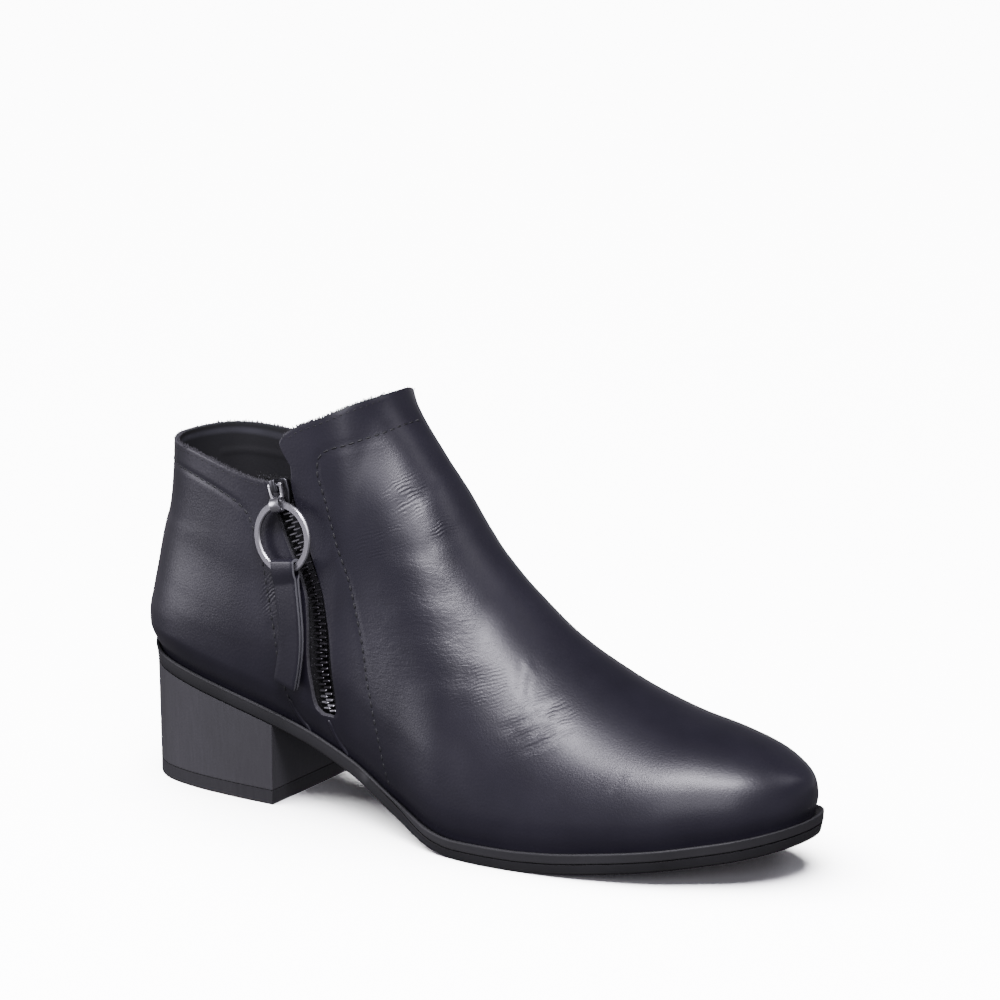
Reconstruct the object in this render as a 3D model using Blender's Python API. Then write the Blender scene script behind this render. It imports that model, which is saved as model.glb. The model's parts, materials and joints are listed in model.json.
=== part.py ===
# Zip ankle boot for the right foot: leather upper on a moulded unit sole with a stacked block heel.
# Lengths are metres. The toe points along +X, the lateral (zip) side faces -Y and the floor is z = 0.
# Heights of the upper are measured from the seat, the top face of the sole that carries it.

import math

import bmesh
import bpy
import numpy as np
from mathutils import Matrix, Vector

# Sole
SOLE_LENGTH = 0.2533
LATERAL_HALF = 0.0423
MEDIAL_HALF = 0.0430
TOE_SWING = 0.0110
HEEL_RISE = 0.0440
TOE_SPRING = 0.0136
SOLE_HEEL_THICKNESS = 0.0054
SOLE_BALL_THICKNESS = 0.0074
SIDE_SLOPE = 0.0008
GROOVE_DEPTH = 0.0006
GROOVE_HEIGHT = 0.0006
RIM_HEIGHT = 0.0012
RIM_ROUND = 0.0004
LEDGE_HEEL = 0.0020
LEDGE_TOE = 0.0030
RIM_GAP = 0.0007
GAP = 0.0003

# Heel
LIFT_THICKNESS = 0.0052
HEEL_INSET = 0.0009
BREAST_STATION = 0.0641
BREAST_LEAN = 0.0016
HEEL_SIDE_TAPER = 0.0032
HEEL_BACK_TAPER = 0.0004

# Upper
WALL = 0.0018
INSOLE_THICKNESS = 0.0020
INSOLE_GAP = 0.0005
COLLAR_RISE = 0.0752
BACK_LEAN = 0.0092
FRONT_RISE = 0.1237
RIDGE_OFFSET = 0.0110
BULGE = 0.0040
BULGE_HEIGHT = 0.0300
HEEL_ROUND = 0.0260
COLLAR_CORNER_RISE = 0.0842
TOE_BULGE = 0.0010
TOE_BULGE_HEIGHT = 0.0070

# Zip
ZIP_STATION = 0.0889
ZIP_FOOT_RISE = 0.0118
ZIP_TOP_DROP = 0.0068
ZIP_LEAN = 0.0213
SLIT_WIDTH = 0.0100
CHAIN_WIDTH = 0.0054
CHAIN_THICKNESS = 0.0022
TOOTH_PITCH = 0.0026
TOOTH_DEPTH = 0.0006
TAPE_WIDTH = 0.0085
TAPE_THICKNESS = 0.0008

# Slider and pull
SLIDER_WIDTH = 0.0070
SLIDER_FOOT_WIDTH = 0.0048
SLIDER_LENGTH = 0.0095
SLIDER_PROUD = 0.0008
SLIDER_EDGE = 0.0003
SLIDER_CORNER = 0.00095
SLIDER_SHARE = 0.966
BRIDGE_WIDTH = 0.0024
BRIDGE_LENGTH = 0.0048
BRIDGE_HEIGHT = 0.0042
PIN_STEP = 0.0026
PIN_RADIUS = 0.0007
PIN_PLAY = 0.00025
LINK_ARM = 0.0011
LINK_SIDE_PLAY = 0.0004
LINK_END_PLAY = 0.0014
LINK_THICKNESS = 0.0013
LINK_HEAD = 0.0009
EYE_WIDTH = 0.0036
EYE_WALL = 0.0007
EYE_PLAY = 0.00055
EYE_OUT = 0.0009
RING_RADIUS = 0.0125
RING_BAND = 0.0025
RING_THICKNESS = 0.0014
RING_EDGE = 0.0003
TAB_WIDTH = 0.0098
TAB_LENGTH = 0.0360
TAB_LAYER = 0.0011
TAB_PLAY = 0.0003
TAB_CURVE = 0.0016
TAB_BOW = 0.0024
TAB_TURN = math.radians(-4.0)
PULL_TILT = math.radians(4.5)
RING_YAW = math.radians(11.0)
RING_LEAN = math.radians(13.0)

# Where forms start and end, as shares of the sole's or the upper's length
BOW_POWER = 1.3
STRAP_SETTLES = 0.5
SWING_FROM = 0.541
SWING_POWER = 1.7
THICKENS = (0.25, 0.72)
LEDGE_WIDENS = (0.35, 0.60)
GROOVE_STARTS = (0.40, 0.46)
GROOVE_FALLS = (0.42, 0.56)
BACK_REACH = 0.36
BACK_CLOSES = 0.12
TOE_FROM = 0.75

# Other shares: groove height on the side at the heel and its fall, slope of the upper band,
# where the rear rim starts to fall, ends of the tape and of the teeth on the zip's height
GROOVE_REAR = 0.90
GROOVE_DROP = 0.38
BAND_SLOPE = 0.3
RIM_FALLS = 0.25
TAPE_LOW = -0.03
TAPE_HIGH = 1.01
CHAIN_LOW = 0.005
CHAIN_HIGH = 0.966

# Worked out: the eye lets the ring's section turn, and the link reaches under the bridge
EYE_BORE = math.hypot(RING_BAND, RING_THICKNESS) / 2 + EYE_PLAY
LINK_LENGTH = BRIDGE_LENGTH / 2 + LINK_END_PLAY + EYE_WALL + EYE_BORE

# Mesh steps
SOLE_STATIONS = 52
SOLE_ACROSS = 4
HEEL_STATIONS = 16
HEEL_ACROSS = 4
RING_STEPS = 40
ROUND_STEPS = 16
EYE_STEPS = 24
TAPE_ROWS = 24
TAPE_COLUMNS = 3
TAB_ROWS = 8
FOLD_STEPS = 6
REAR_COLUMNS = 12
SLIT_COLUMNS = 2
FRONT_COLUMNS = 20
MEDIAL_COLUMNS = 32
WELD = 0.00001

# Sole outline. Columns: share of the length, lateral half width, medial half width (shares of each)
SOLE_OUTLINE = (
    (0.000, 0.000, 0.000),
    (0.008, 0.222, 0.212),
    (0.020, 0.348, 0.330),
    (0.036, 0.463, 0.440),
    (0.060, 0.568, 0.535),
    (0.107, 0.655, 0.616),
    (0.146, 0.686, 0.644),
    (0.205, 0.702, 0.655),
    (0.304, 0.702, 0.632),
    (0.383, 0.726, 0.612),
    (0.462, 0.830, 0.655),
    (0.541, 0.960, 0.785),
    (0.620, 1.000, 0.930),
    (0.699, 0.976, 1.000),
    (0.778, 0.913, 0.940),
    (0.837, 0.837, 0.850),
    (0.896, 0.697, 0.705),
    (0.936, 0.589, 0.592),
    (0.967, 0.452, 0.450),
    (0.987, 0.300, 0.300),
    (1.000, 0.000, 0.000),
)

# Underside. Columns: share of the length, share of the heel rise, share of the toe spring
SOLE_PROFILE = (
    (0.000, 0.997, 0.000),
    (0.107, 0.873, 0.000),
    (0.225, 0.723, 0.000),
    (0.304, 0.598, 0.000),
    (0.383, 0.420, 0.000),
    (0.462, 0.200, 0.000),
    (0.541, 0.023, 0.000),
    (0.569, 0.000, 0.000),
    (0.651, 0.000, 0.000),
    (0.699, 0.000, 0.044),
    (0.778, 0.000, 0.213),
    (0.857, 0.000, 0.427),
    (0.936, 0.000, 0.706),
    (1.000, 0.000, 1.000),
)

# Ridge of the upper from toe to collar, carried on above it. Columns: share of the upper's length,
# height as a share of the front rise, sideways offset as a share of the ridge offset, fullness
RIDGE = (
    (0.000, 3.600, 0.000, 2.60),
    (0.100, 2.950, 0.000, 2.60),
    (0.200, 2.250, 0.000, 2.60),
    (0.300, 1.540, 0.030, 2.55),
    (0.345, 1.210, 0.060, 2.50),
    (0.379, 1.000, 0.090, 2.45),
    (0.430, 0.900, 0.150, 2.30),
    (0.470, 0.838, 0.190, 2.20),
    (0.519, 0.738, 0.260, 2.10),
    (0.567, 0.652, 0.340, 2.00),
    (0.632, 0.535, 0.450, 1.95),
    (0.695, 0.450, 0.580, 1.95),
    (0.757, 0.378, 0.700, 2.00),
    (0.819, 0.318, 0.800, 2.10),
    (0.879, 0.272, 0.900, 2.20),
    (0.927, 0.226, 0.950, 2.30),
    (0.967, 0.170, 0.980, 2.40),
    (0.990, 0.128, 1.000, 2.40),
    (1.000, 0.080, 1.000, 2.40),
)

# Centre back. Columns: share of the collar rise, forward step as a share of the back lean
BACK_CURVE = (
    (0.000, 0.000),
    (0.050, -0.180),
    (0.110, -0.320),
    (0.170, -0.320),
    (0.270, -0.180),
    (0.400, 0.020),
    (0.530, 0.200),
    (0.610, 0.360),
    (0.660, 0.500),
    (0.760, 0.640),
    (0.880, 0.720),
    (1.000, 0.760),
)

# How far the side stands out from its edge at the seat, as shares of the bulge.
# Columns: share of the bulge height, heel, waist, ball, toe
SIDE_BULGE = (
    (0.00, 0.00, 0.00, 0.00, 0.00),
    (0.05, 0.10, 0.08, 0.05, 0.05),
    (0.20, 0.70, 0.50, 0.30, 0.32),
    (0.40, 1.08, 0.90, 0.48, 0.52),
    (0.70, 1.02, 1.20, 0.55, 0.60),
    (1.00, 0.85, 1.35, 0.60, 0.60),
    (1.60, 0.55, 1.25, 0.60, 0.60),
    (2.40, 0.55, 0.95, 0.60, 0.60),
    (3.50, 0.55, 0.80, 0.60, 0.60),
)
BULGE_STATIONS = (0.10, 0.36, 0.64, 0.92)

# Zip line and slit. Columns: share of the zip's height, forward lean of the teeth as a share of the
# zip lean, rear and front edge of the slit from the teeth as shares of the slit width
ZIP_LINE = (
    (0.000, 1.000, 0.26, 0.26),
    (0.030, 0.976, 0.46, 0.44),
    (0.100, 0.948, 0.53, 0.50),
    (0.190, 0.892, 0.53, 0.52),
    (0.290, 0.854, 0.50, 0.49),
    (0.370, 0.831, 0.47, 0.45),
    (0.450, 0.784, 0.42, 0.41),
    (0.530, 0.718, 0.37, 0.40),
    (0.600, 0.614, 0.35, 0.41),
    (0.660, 0.505, 0.37, 0.44),
    (0.790, 0.288, 0.43, 0.46),
    (0.920, 0.100, 0.44, 0.44),
    (1.000, 0.000, 0.52, 0.46),
)

# Rounded upper corner of the front flap, from the slit to the rim.
# Columns: share of the way from the zip top to the corner rise, forward step as a share of the slit width
FLAP_EDGE = (
    (0.00, 0.46),
    (0.40, 0.40),
    (0.58, 0.20),
    (0.75, 0.02),
    (0.88, -0.06),
    (1.00, 0.02),
)

# Front rim from the flap corner to the peak. Columns: share of the run, share of the climb
FLAP_RIM = (
    (0.00, 0.00),
    (0.15, 0.24),
    (0.30, 0.38),
    (0.50, 0.54),
    (0.75, 0.78),
    (1.00, 1.00),
)

# Medial rim. Columns: share of the way from back to peak, share of the climb between them
MEDIAL_RIM = (
    (0.00, 0.00),
    (0.06, 0.02),
    (0.14, 0.00),
    (0.23, -0.035),
    (0.32, -0.070),
    (0.45, -0.060),
    (0.65, 0.11),
    (0.80, 0.36),
    (0.92, 0.72),
    (1.00, 1.00),
)

# Rows of the upper, each a share of the way from the seat to the rim
UPPER_ROWS = (0.0, 0.025, 0.055, 0.090, 0.105, 0.150, 0.200, 0.255, 0.315, 0.375, 0.435, 0.500,
              0.565, 0.630, 0.695, 0.760, 0.825, 0.885, 0.945, 1.0)
SLIT_ROW = 3

COLOURS = {
    "leather": ((0.016, 0.017, 0.026), 0.42, 0.0),
    "rubber": ((0.020, 0.020, 0.022), 0.62, 0.0),
    "lining": ((0.010, 0.010, 0.011), 0.85, 0.0),
    "tape": ((0.006, 0.006, 0.007), 0.90, 0.0),
    "dark_metal": ((0.055, 0.055, 0.060), 0.38, 0.9),
    "ring_metal": ((0.160, 0.160, 0.170), 0.30, 1.0),
}


def column(table, index):
    """One column of a table as an array."""
    return np.array([row[index] for row in table])


def smooth_read(keys, values, at):
    """Read a table between its rows on a curve that never overshoots them."""
    keys = np.asarray(keys, float)
    values = np.asarray(values, float)
    at = np.clip(np.asarray(at, float), keys[0], keys[-1])
    steps = np.diff(keys)
    slopes = np.diff(values) / steps
    tangents = np.zeros(len(keys))
    for i in range(1, len(keys) - 1):
        if slopes[i - 1] * slopes[i] > 0:
            first = 2 * steps[i] + steps[i - 1]
            second = steps[i] + 2 * steps[i - 1]
            tangents[i] = (first + second) / (first / slopes[i - 1] + second / slopes[i])
    tangents[0] = slopes[0]
    tangents[-1] = slopes[-1]
    place = np.clip(np.searchsorted(keys, at, side="right") - 1, 0, len(keys) - 2)
    step = steps[place]
    t = (at - keys[place]) / step
    return (values[place] * (2 * t**3 - 3 * t**2 + 1) + tangents[place] * step * (t**3 - 2 * t**2 + t)
            + values[place + 1] * (3 * t**2 - 2 * t**3) + tangents[place + 1] * step * (t**3 - t**2))


def turn(share):
    """Angle share of a length share, so that both ends of an outline come out round."""
    return np.arccos(1 - 2 * np.clip(share, 0.0, 1.0)) / math.pi


def unturn(angle_share):
    """Length share of an angle share."""
    return (1 - np.cos(math.pi * np.asarray(angle_share, float))) / 2


def blend(low, high, at):
    """Smooth step from 0 at low to 1 at high."""
    t = np.clip((np.asarray(at, float) - low) / (high - low), 0.0, 1.0)
    return t * t * (3 - 2 * t)


# Sole functions. Stations run from 0 at the back of the heel to the sole's length at the toe.

def underside(station):
    """Height of the underside of the sole."""
    share = np.asarray(station, float) / SOLE_LENGTH
    keys = column(SOLE_PROFILE, 0)
    return (HEEL_RISE * smooth_read(keys, column(SOLE_PROFILE, 1), share)
            + TOE_SPRING * smooth_read(keys, column(SOLE_PROFILE, 2), share))


def edge_thickness(station):
    """Height of the sole's side up to its rim."""
    share = np.asarray(station, float) / SOLE_LENGTH
    return SOLE_HEEL_THICKNESS + (SOLE_BALL_THICKNESS - SOLE_HEEL_THICKNESS) * blend(*THICKENS, share)


def seat(station):
    """Height of the sole's top face inside its rim."""
    return underside(station) + edge_thickness(station) - RIM_HEIGHT


def ledge(share):
    """Width of the sole outside the upper."""
    return LEDGE_HEEL + (LEDGE_TOE - LEDGE_HEEL) * blend(*LEDGE_WIDENS, share)


def outline_point(angle_share, side):
    """Point of the sole's outline; side is -1 for lateral and 1 for medial."""
    share = unturn(angle_share)
    table_column, half = (1, LATERAL_HALF) if side < 0 else (2, MEDIAL_HALF)
    width = half * smooth_read(turn(column(SOLE_OUTLINE, 0)), column(SOLE_OUTLINE, table_column),
                               angle_share)
    centre = TOE_SWING * np.clip((share - SWING_FROM) / (1 - SWING_FROM), 0, 1) ** SWING_POWER
    return np.stack([SOLE_LENGTH * share, centre + side * width], -1)


def inset_point(angle_share, side, inset):
    """Point of the sole's outline moved inwards along its own normal."""
    step = 0.004
    before = np.clip(angle_share - step, 0, 1)
    after = np.clip(angle_share + step, 0, 1)
    start = outline_point(before, side)
    finish = outline_point(after, side)
    if angle_share - step < 0:
        start = outline_point(step - angle_share, -side)
    if angle_share + step > 1:
        finish = outline_point(2 - angle_share - step, -side)
    along = (finish - start) / np.linalg.norm(finish - start)
    inward = np.array([along[1], -along[0]]) * side
    return outline_point(angle_share, side) + inward * inset


def make_feather():
    """The upper's edge on the seat: for each side, angle shares against widths, with its two ends."""
    samples = 241
    angles = np.linspace(0, 1, samples)
    sides = {side: np.array([inset_point(a, side, ledge(unturn(a))) for a in angles]) for side in (-1, 1)}
    back = sides[1][0, 0]
    toe = sides[1][-1, 0]
    tables = {}
    for side, points in sides.items():
        shares = np.clip((points[:, 0] - back) / (toe - back), 0, 1)
        order = np.argsort(shares)
        tables[side] = (turn(shares[order]), points[order, 1])
    return back, toe, tables


FEATHER_BACK, FEATHER_TOE, FEATHER = make_feather()
UPPER_LENGTH = FEATHER_TOE - FEATHER_BACK
HEEL_SEAT = float(seat(FEATHER_BACK))
COLLAR_HEIGHT = HEEL_SEAT + COLLAR_RISE


# Upper functions. A side is given as y for a place (station, height) seen from the side.

def back_station(height):
    """Station of the centre back at a height."""
    share = (np.asarray(height, float) - HEEL_SEAT) / COLLAR_RISE
    return FEATHER_BACK + BACK_LEAN * smooth_read(column(BACK_CURVE, 0), column(BACK_CURVE, 1), share)


def ridge_rise(level):
    """Height of the ridge over the seat, carried on above the collar."""
    share = (np.asarray(level, float) - FEATHER_BACK) / UPPER_LENGTH
    return FRONT_RISE * smooth_read(turn(column(RIDGE, 0)), column(RIDGE, 1), turn(share))


def toe_step(level, rise):
    """How far the toe stands forward of its edge at the seat."""
    share = (level - FEATHER_BACK) / UPPER_LENGTH
    return TOE_BULGE * blend(0.0, TOE_BULGE_HEIGHT, rise) * blend(TOE_FROM, 1.0, share)


def side_y(station, height, side):
    """The upper's outer face: y at a station and height on one side."""
    station = np.asarray(station, float)
    height = np.asarray(height, float)
    rise = np.maximum(height - seat(station), 0)
    shift = back_station(height) - FEATHER_BACK
    reach = 1 - blend(0.0, BACK_REACH, (station - FEATHER_BACK) / UPPER_LENGTH)
    level = station
    for _ in range(3):
        level = station - shift * reach - toe_step(level, rise)
    share = np.clip((level - FEATHER_BACK) / UPPER_LENGTH, 0, 1)
    angle = turn(share)
    edge = np.interp(angle, *FEATHER[side])
    end_distance = np.minimum(share, 1 - share) * UPPER_LENGTH
    squareness = np.sqrt(1 - (1 - np.clip(end_distance / HEEL_ROUND, 0, 1)) ** 2)
    stands = np.stack([smooth_read(column(SIDE_BULGE, 0), column(SIDE_BULGE, i + 1), rise / BULGE_HEIGHT)
                       for i in range(len(BULGE_STATIONS))])
    weights = bulge_weights(share)
    bulge = BULGE * (stands * weights).sum(0) * squareness
    keys = turn(column(RIDGE, 0))
    ridge_y = RIDGE_OFFSET * smooth_read(keys, column(RIDGE, 2), angle)
    fullness = smooth_read(keys, column(RIDGE, 3), angle)
    climb = np.clip(rise / np.maximum(ridge_rise(level), WELD), 0, 1)
    roundness = (1 - climb ** fullness) ** (1 / fullness)
    middle = np.interp(angle, (FEATHER[1][0] + FEATHER[-1][0]) / 2, (FEATHER[1][1] + FEATHER[-1][1]) / 2)
    closing = blend(0.0, BACK_CLOSES, share)
    ridge_y = middle + (ridge_y - middle) * closing
    return ridge_y + (edge + side * bulge - ridge_y) * roundness


def bulge_weights(share):
    """Share of each bulge column at a place along the upper."""
    share = np.asarray(share, float)
    reading = np.interp(share, BULGE_STATIONS, range(len(BULGE_STATIONS)))
    return np.stack([np.clip(1 - np.abs(reading - i), 0, 1) for i in range(len(BULGE_STATIONS))])


def outer_point(station, height, side, depth=0.0):
    """Point of the upper's face, or one a depth below it."""
    step = 0.0006
    y = float(side_y(station, height, side))
    slope_x = float(side_y(station + step, height, side) - side_y(station - step, height, side)) / (2 * step)
    slope_z = float(side_y(station, height + step, side) - side_y(station, height - step, side)) / (2 * step)
    normal = Vector((-slope_x, 1.0, -slope_z)).normalized() * side
    return Vector((station, y, height)) - normal * depth


# Zip line in the side view

ZIP_FOOT = float(seat(ZIP_STATION)) + ZIP_FOOT_RISE
ZIP_TOP = COLLAR_HEIGHT - ZIP_TOP_DROP
ZIP_HEIGHT = ZIP_TOP - ZIP_FOOT
ZIP_TOP_STATION = ZIP_STATION - ZIP_LEAN


def zip_station(share):
    """Station of the teeth at a share of the zip's height."""
    return ZIP_TOP_STATION + ZIP_LEAN * smooth_read(column(ZIP_LINE, 0), column(ZIP_LINE, 1), share)


def slit_station(share, which):
    """Station of the slit's rear (-1) or front (1) edge at a share of the zip's height."""
    offset = smooth_read(column(ZIP_LINE, 0), column(ZIP_LINE, 2 if which < 0 else 3), share)
    return zip_station(share) + which * SLIT_WIDTH * offset


PEAK_SHARE = next(row[0] for row in RIDGE if row[1] <= 1.0)
PEAK_STATION = FEATHER_BACK + UPPER_LENGTH * PEAK_SHARE
PEAK_HEIGHT = float(seat(PEAK_STATION) + ridge_rise(PEAK_STATION))
CORNER_HEIGHT = HEEL_SEAT + COLLAR_CORNER_RISE


def ridge_path():
    """The front boundary seen from the side: up the toe wall, then back along the ridge to the peak."""
    along, up = 160, 8
    levels = FEATHER_BACK + UPPER_LENGTH * unturn(np.linspace(1, float(turn(PEAK_SHARE)), along))
    foot = float(seat(FEATHER_TOE))
    wall = np.linspace(GAP, float(ridge_rise(FEATHER_TOE)), up)[:-1]
    points = [(FEATHER_TOE + float(toe_step(FEATHER_TOE, rise)), foot + rise) for rise in wall]
    for level in levels:
        rise = float(ridge_rise(level))
        station = level + float(toe_step(level, rise))
        points.append((station, float(seat(station)) + rise))
    return np.array(points)


RIDGE_PATH = ridge_path()
RIDGE_RUN = np.concatenate([[0], np.cumsum(np.linalg.norm(np.diff(RIDGE_PATH, axis=0), axis=1))])


def front_edge(row):
    """Front boundary at a row share."""
    reach = RIDGE_RUN[-1] * row
    return np.array([np.interp(reach, RIDGE_RUN, RIDGE_PATH[:, i]) for i in range(2)])


def back_edge(row):
    """Centre back at a row share."""
    height = HEEL_SEAT + GAP + (COLLAR_RISE - GAP) * row
    return np.array([float(back_station(height)), height])


def seat_edge(angle_share):
    """Bottom edge of the upper at an angle share."""
    station = FEATHER_BACK + UPPER_LENGTH * float(unturn(angle_share))
    return np.array([station, float(seat(station)) + GAP])


def slit_edge(row, which):
    """Edge column beside the slit, from the seat through the slit to the rim."""
    slit_share = UPPER_ROWS[SLIT_ROW]
    if row <= slit_share:
        foot = slit_station(0.0, which)
        base = float(seat(foot)) + GAP
        return np.array([foot, base + (ZIP_FOOT - base) * row / slit_share])
    part = (row - slit_share) / (1 - slit_share)
    if which < 0:
        return np.array([slit_station(part, which), ZIP_FOOT + ZIP_HEIGHT * part])
    whole = CORNER_HEIGHT - ZIP_FOOT
    height = ZIP_FOOT + whole * part
    if height <= ZIP_TOP:
        return np.array([slit_station((height - ZIP_FOOT) / ZIP_HEIGHT, which), height])
    rest = (height - ZIP_TOP) / (CORNER_HEIGHT - ZIP_TOP)
    step = SLIT_WIDTH * smooth_read(column(FLAP_EDGE, 0), column(FLAP_EDGE, 1), rest)
    return np.array([ZIP_TOP_STATION + step, height])


def rear_rim(share):
    """Lateral rim from the centre back to the slit."""
    start = back_edge(1.0)
    finish = slit_edge(1.0, -1)
    drop = blend(RIM_FALLS, 1.0, share)
    return np.array([start[0] + (finish[0] - start[0]) * share, start[1] + (finish[1] - start[1]) * drop])


def flap_rim(share):
    """Lateral rim from the flap corner to the peak."""
    start = slit_edge(1.0, 1)
    climb = smooth_read(column(FLAP_RIM, 0), column(FLAP_RIM, 1), share)
    return np.array([start[0] + (PEAK_STATION - start[0]) * share,
                     start[1] + (PEAK_HEIGHT - start[1]) * climb])


def medial_rim(share):
    """Medial rim from the centre back to the peak."""
    start = back_edge(1.0)
    climb = smooth_read(column(MEDIAL_RIM, 0), column(MEDIAL_RIM, 1), share)
    return np.array([start[0] + (PEAK_STATION - start[0]) * share,
                     start[1] + (PEAK_HEIGHT - start[1]) * climb])


def patch(u, row, lower, upper, left, right, ease):
    """A place inside four boundary curves; ease is the blend of left and right along u."""
    a, b, c, d = lower(0.0), lower(1.0), upper(0.0), upper(1.0)
    across = (1 - row) * lower(u) + row * upper(u)
    left_off = left(row) - ((1 - row) * a + row * c)
    right_off = right(row) - ((1 - row) * b + row * d)
    return across + (1 - ease) * left_off + ease * right_off


REAR_FOOT_ANGLE = float(turn((slit_station(0.0, -1) - FEATHER_BACK) / UPPER_LENGTH))
FRONT_FOOT_ANGLE = float(turn((slit_station(0.0, 1) - FEATHER_BACK) / UPPER_LENGTH))


def rear_place(u, row):
    """Quarter behind the slit."""
    ease = 1 - math.cos(math.pi * u / 2)
    return patch(u, row, lambda s: seat_edge(REAR_FOOT_ANGLE * s),
                 lambda s: rear_rim(1 - math.cos(math.pi * s / 2)),
                 back_edge, lambda r: slit_edge(r, -1), ease)


def under_slit_place(u, row):
    """Strip of wall under the slit."""
    return (1 - u) * slit_edge(row, -1) + u * slit_edge(row, 1)


def front_place(u, row):
    """Vamp in front of the slit."""
    ease = math.sin(math.pi * u / 2)
    return patch(u, row, lambda s: seat_edge(FRONT_FOOT_ANGLE + (1 - FRONT_FOOT_ANGLE) * s),
                 lambda s: flap_rim(math.sin(math.pi * s / 2)),
                 lambda r: slit_edge(r, 1), front_edge, ease)


def medial_place(u, row):
    """Whole medial side."""
    ease = float(unturn(u))
    return patch(u, row, seat_edge, lambda s: medial_rim(float(unturn(s))), back_edge, front_edge, ease)


# Blender helpers

def finish_object(name, bm, material, smooth_angle=35.0):
    """Close the mesh, face it outwards and put it in the scene."""
    bmesh.ops.remove_doubles(bm, verts=bm.verts, dist=WELD)
    bmesh.ops.dissolve_degenerate(bm, edges=bm.edges, dist=WELD)
    bmesh.ops.recalc_face_normals(bm, faces=bm.faces)
    mesh = bpy.data.meshes.new(name)
    bm.to_mesh(mesh)
    bm.free()
    mesh.shade_smooth()
    mesh.set_sharp_from_angle(angle=math.radians(smooth_angle))
    mesh.materials.append(make_material(material))
    thing = bpy.data.objects.new(name, mesh)
    bpy.context.collection.objects.link(thing)
    return thing


def make_material(name):
    """Principled material from the colour table."""
    if name in bpy.data.materials:
        return bpy.data.materials[name]
    colour, roughness, metallic = COLOURS[name]
    material = bpy.data.materials.new(name)
    material.use_nodes = True
    shader = material.node_tree.nodes["Principled BSDF"]
    shader.inputs["Base Color"].default_value = (*colour, 1.0)
    shader.inputs["Roughness"].default_value = roughness
    shader.inputs["Metallic"].default_value = metallic
    return material


def placed(x, y, z):
    """Shoe coordinates to part coordinates: the origin is under the middle of the box."""
    return Vector((x - ORIGIN_X, y - ORIGIN_Y, z))


def lay_grid(bm, columns, rows, place):
    """A grid of faces, each corner put in its place."""
    for vert in bmesh.ops.create_grid(bm, x_segments=columns, y_segments=rows, size=0.5)["verts"]:
        vert.co = placed(*place(vert.co.x + 0.5, vert.co.y + 0.5))


def loft_grid(bm, columns, rows, levels):
    """A closed solid: a grid laid at the first level, then pulled through the other levels."""
    u_layer = bm.verts.layers.float.new("u")
    v_layer = bm.verts.layers.float.new("v")
    verts = bmesh.ops.create_grid(bm, x_segments=columns, y_segments=rows, size=0.5)["verts"]
    for vert in verts:
        vert[u_layer] = vert.co.x + 0.5
        vert[v_layer] = vert.co.y + 0.5
        vert.co = placed(*levels[0](vert[u_layer], vert[v_layer]))
    cap = list(bm.faces)
    for count, level in enumerate(levels[1:]):
        grown = bmesh.ops.extrude_face_region(bm, geom=cap)["geom"]
        if count:
            bmesh.ops.delete(bm, geom=[face for face in cap if face.is_valid], context="FACES")
        cap = [item for item in grown if isinstance(item, bmesh.types.BMFace)]
        for vert in {vert for face in cap for vert in face.verts}:
            vert.co = placed(*level(vert[u_layer], vert[v_layer]))


# Pieces

def groove_share(share):
    """Height of the side groove as a share of the side, from the waist forwards."""
    return GROOVE_REAR - GROOVE_DROP * blend(*GROOVE_FALLS, share)


def sole_level(inset, lift):
    """Level map of the sole: inset(share) from the outline and lift(share, station) above the floor."""
    def level(u, v):
        share = float(unturn(u))
        lateral = inset_point(u, -1, inset(share))
        medial = inset_point(u, 1, inset(share))
        x, y = lateral + (medial - lateral) * v
        return x, y, float(lift(share, x))
    return level


def make_outsole():
    """Unit sole with a sloped tread band, a groove, an upper band and a raised rim."""
    corner = GROOVE_HEIGHT / 5

    def band(share):
        return SIDE_SLOPE * BAND_SLOPE

    def groove_floor(share):
        return band(share) + GROOVE_DEPTH * float(blend(*GROOVE_STARTS, share))

    def groove_low(share, x):
        return underside(x) + edge_thickness(x) * groove_share(share) - GROOVE_HEIGHT / 2

    levels = [
        sole_level(lambda s: SIDE_SLOPE, lambda s, x: underside(x)),
        sole_level(band, groove_low),
        sole_level(groove_floor, lambda s, x: groove_low(s, x) + corner),
        sole_level(groove_floor, lambda s, x: groove_low(s, x) + GROOVE_HEIGHT - corner),
        sole_level(lambda s: 0.0, lambda s, x: groove_low(s, x) + GROOVE_HEIGHT),
        sole_level(lambda s: 0.0, lambda s, x: seat(x) + RIM_HEIGHT - RIM_ROUND * 0.5),
        sole_level(lambda s: RIM_ROUND, lambda s, x: seat(x) + RIM_HEIGHT),
        sole_level(lambda s: ledge(s) - RIM_GAP - RIM_ROUND * 0.5, lambda s, x: seat(x) + RIM_HEIGHT),
        sole_level(lambda s: ledge(s) - RIM_GAP, lambda s, x: seat(x)),
    ]
    bm = bmesh.new()
    loft_grid(bm, SOLE_STATIONS, SOLE_ACROSS, levels)
    return finish_object("outsole", bm, "rubber")


HEEL_WIDE = [inset_point(float(turn(BREAST_STATION / SOLE_LENGTH)), side, HEEL_INSET)[1] for side in (-1, 1)]


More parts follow.
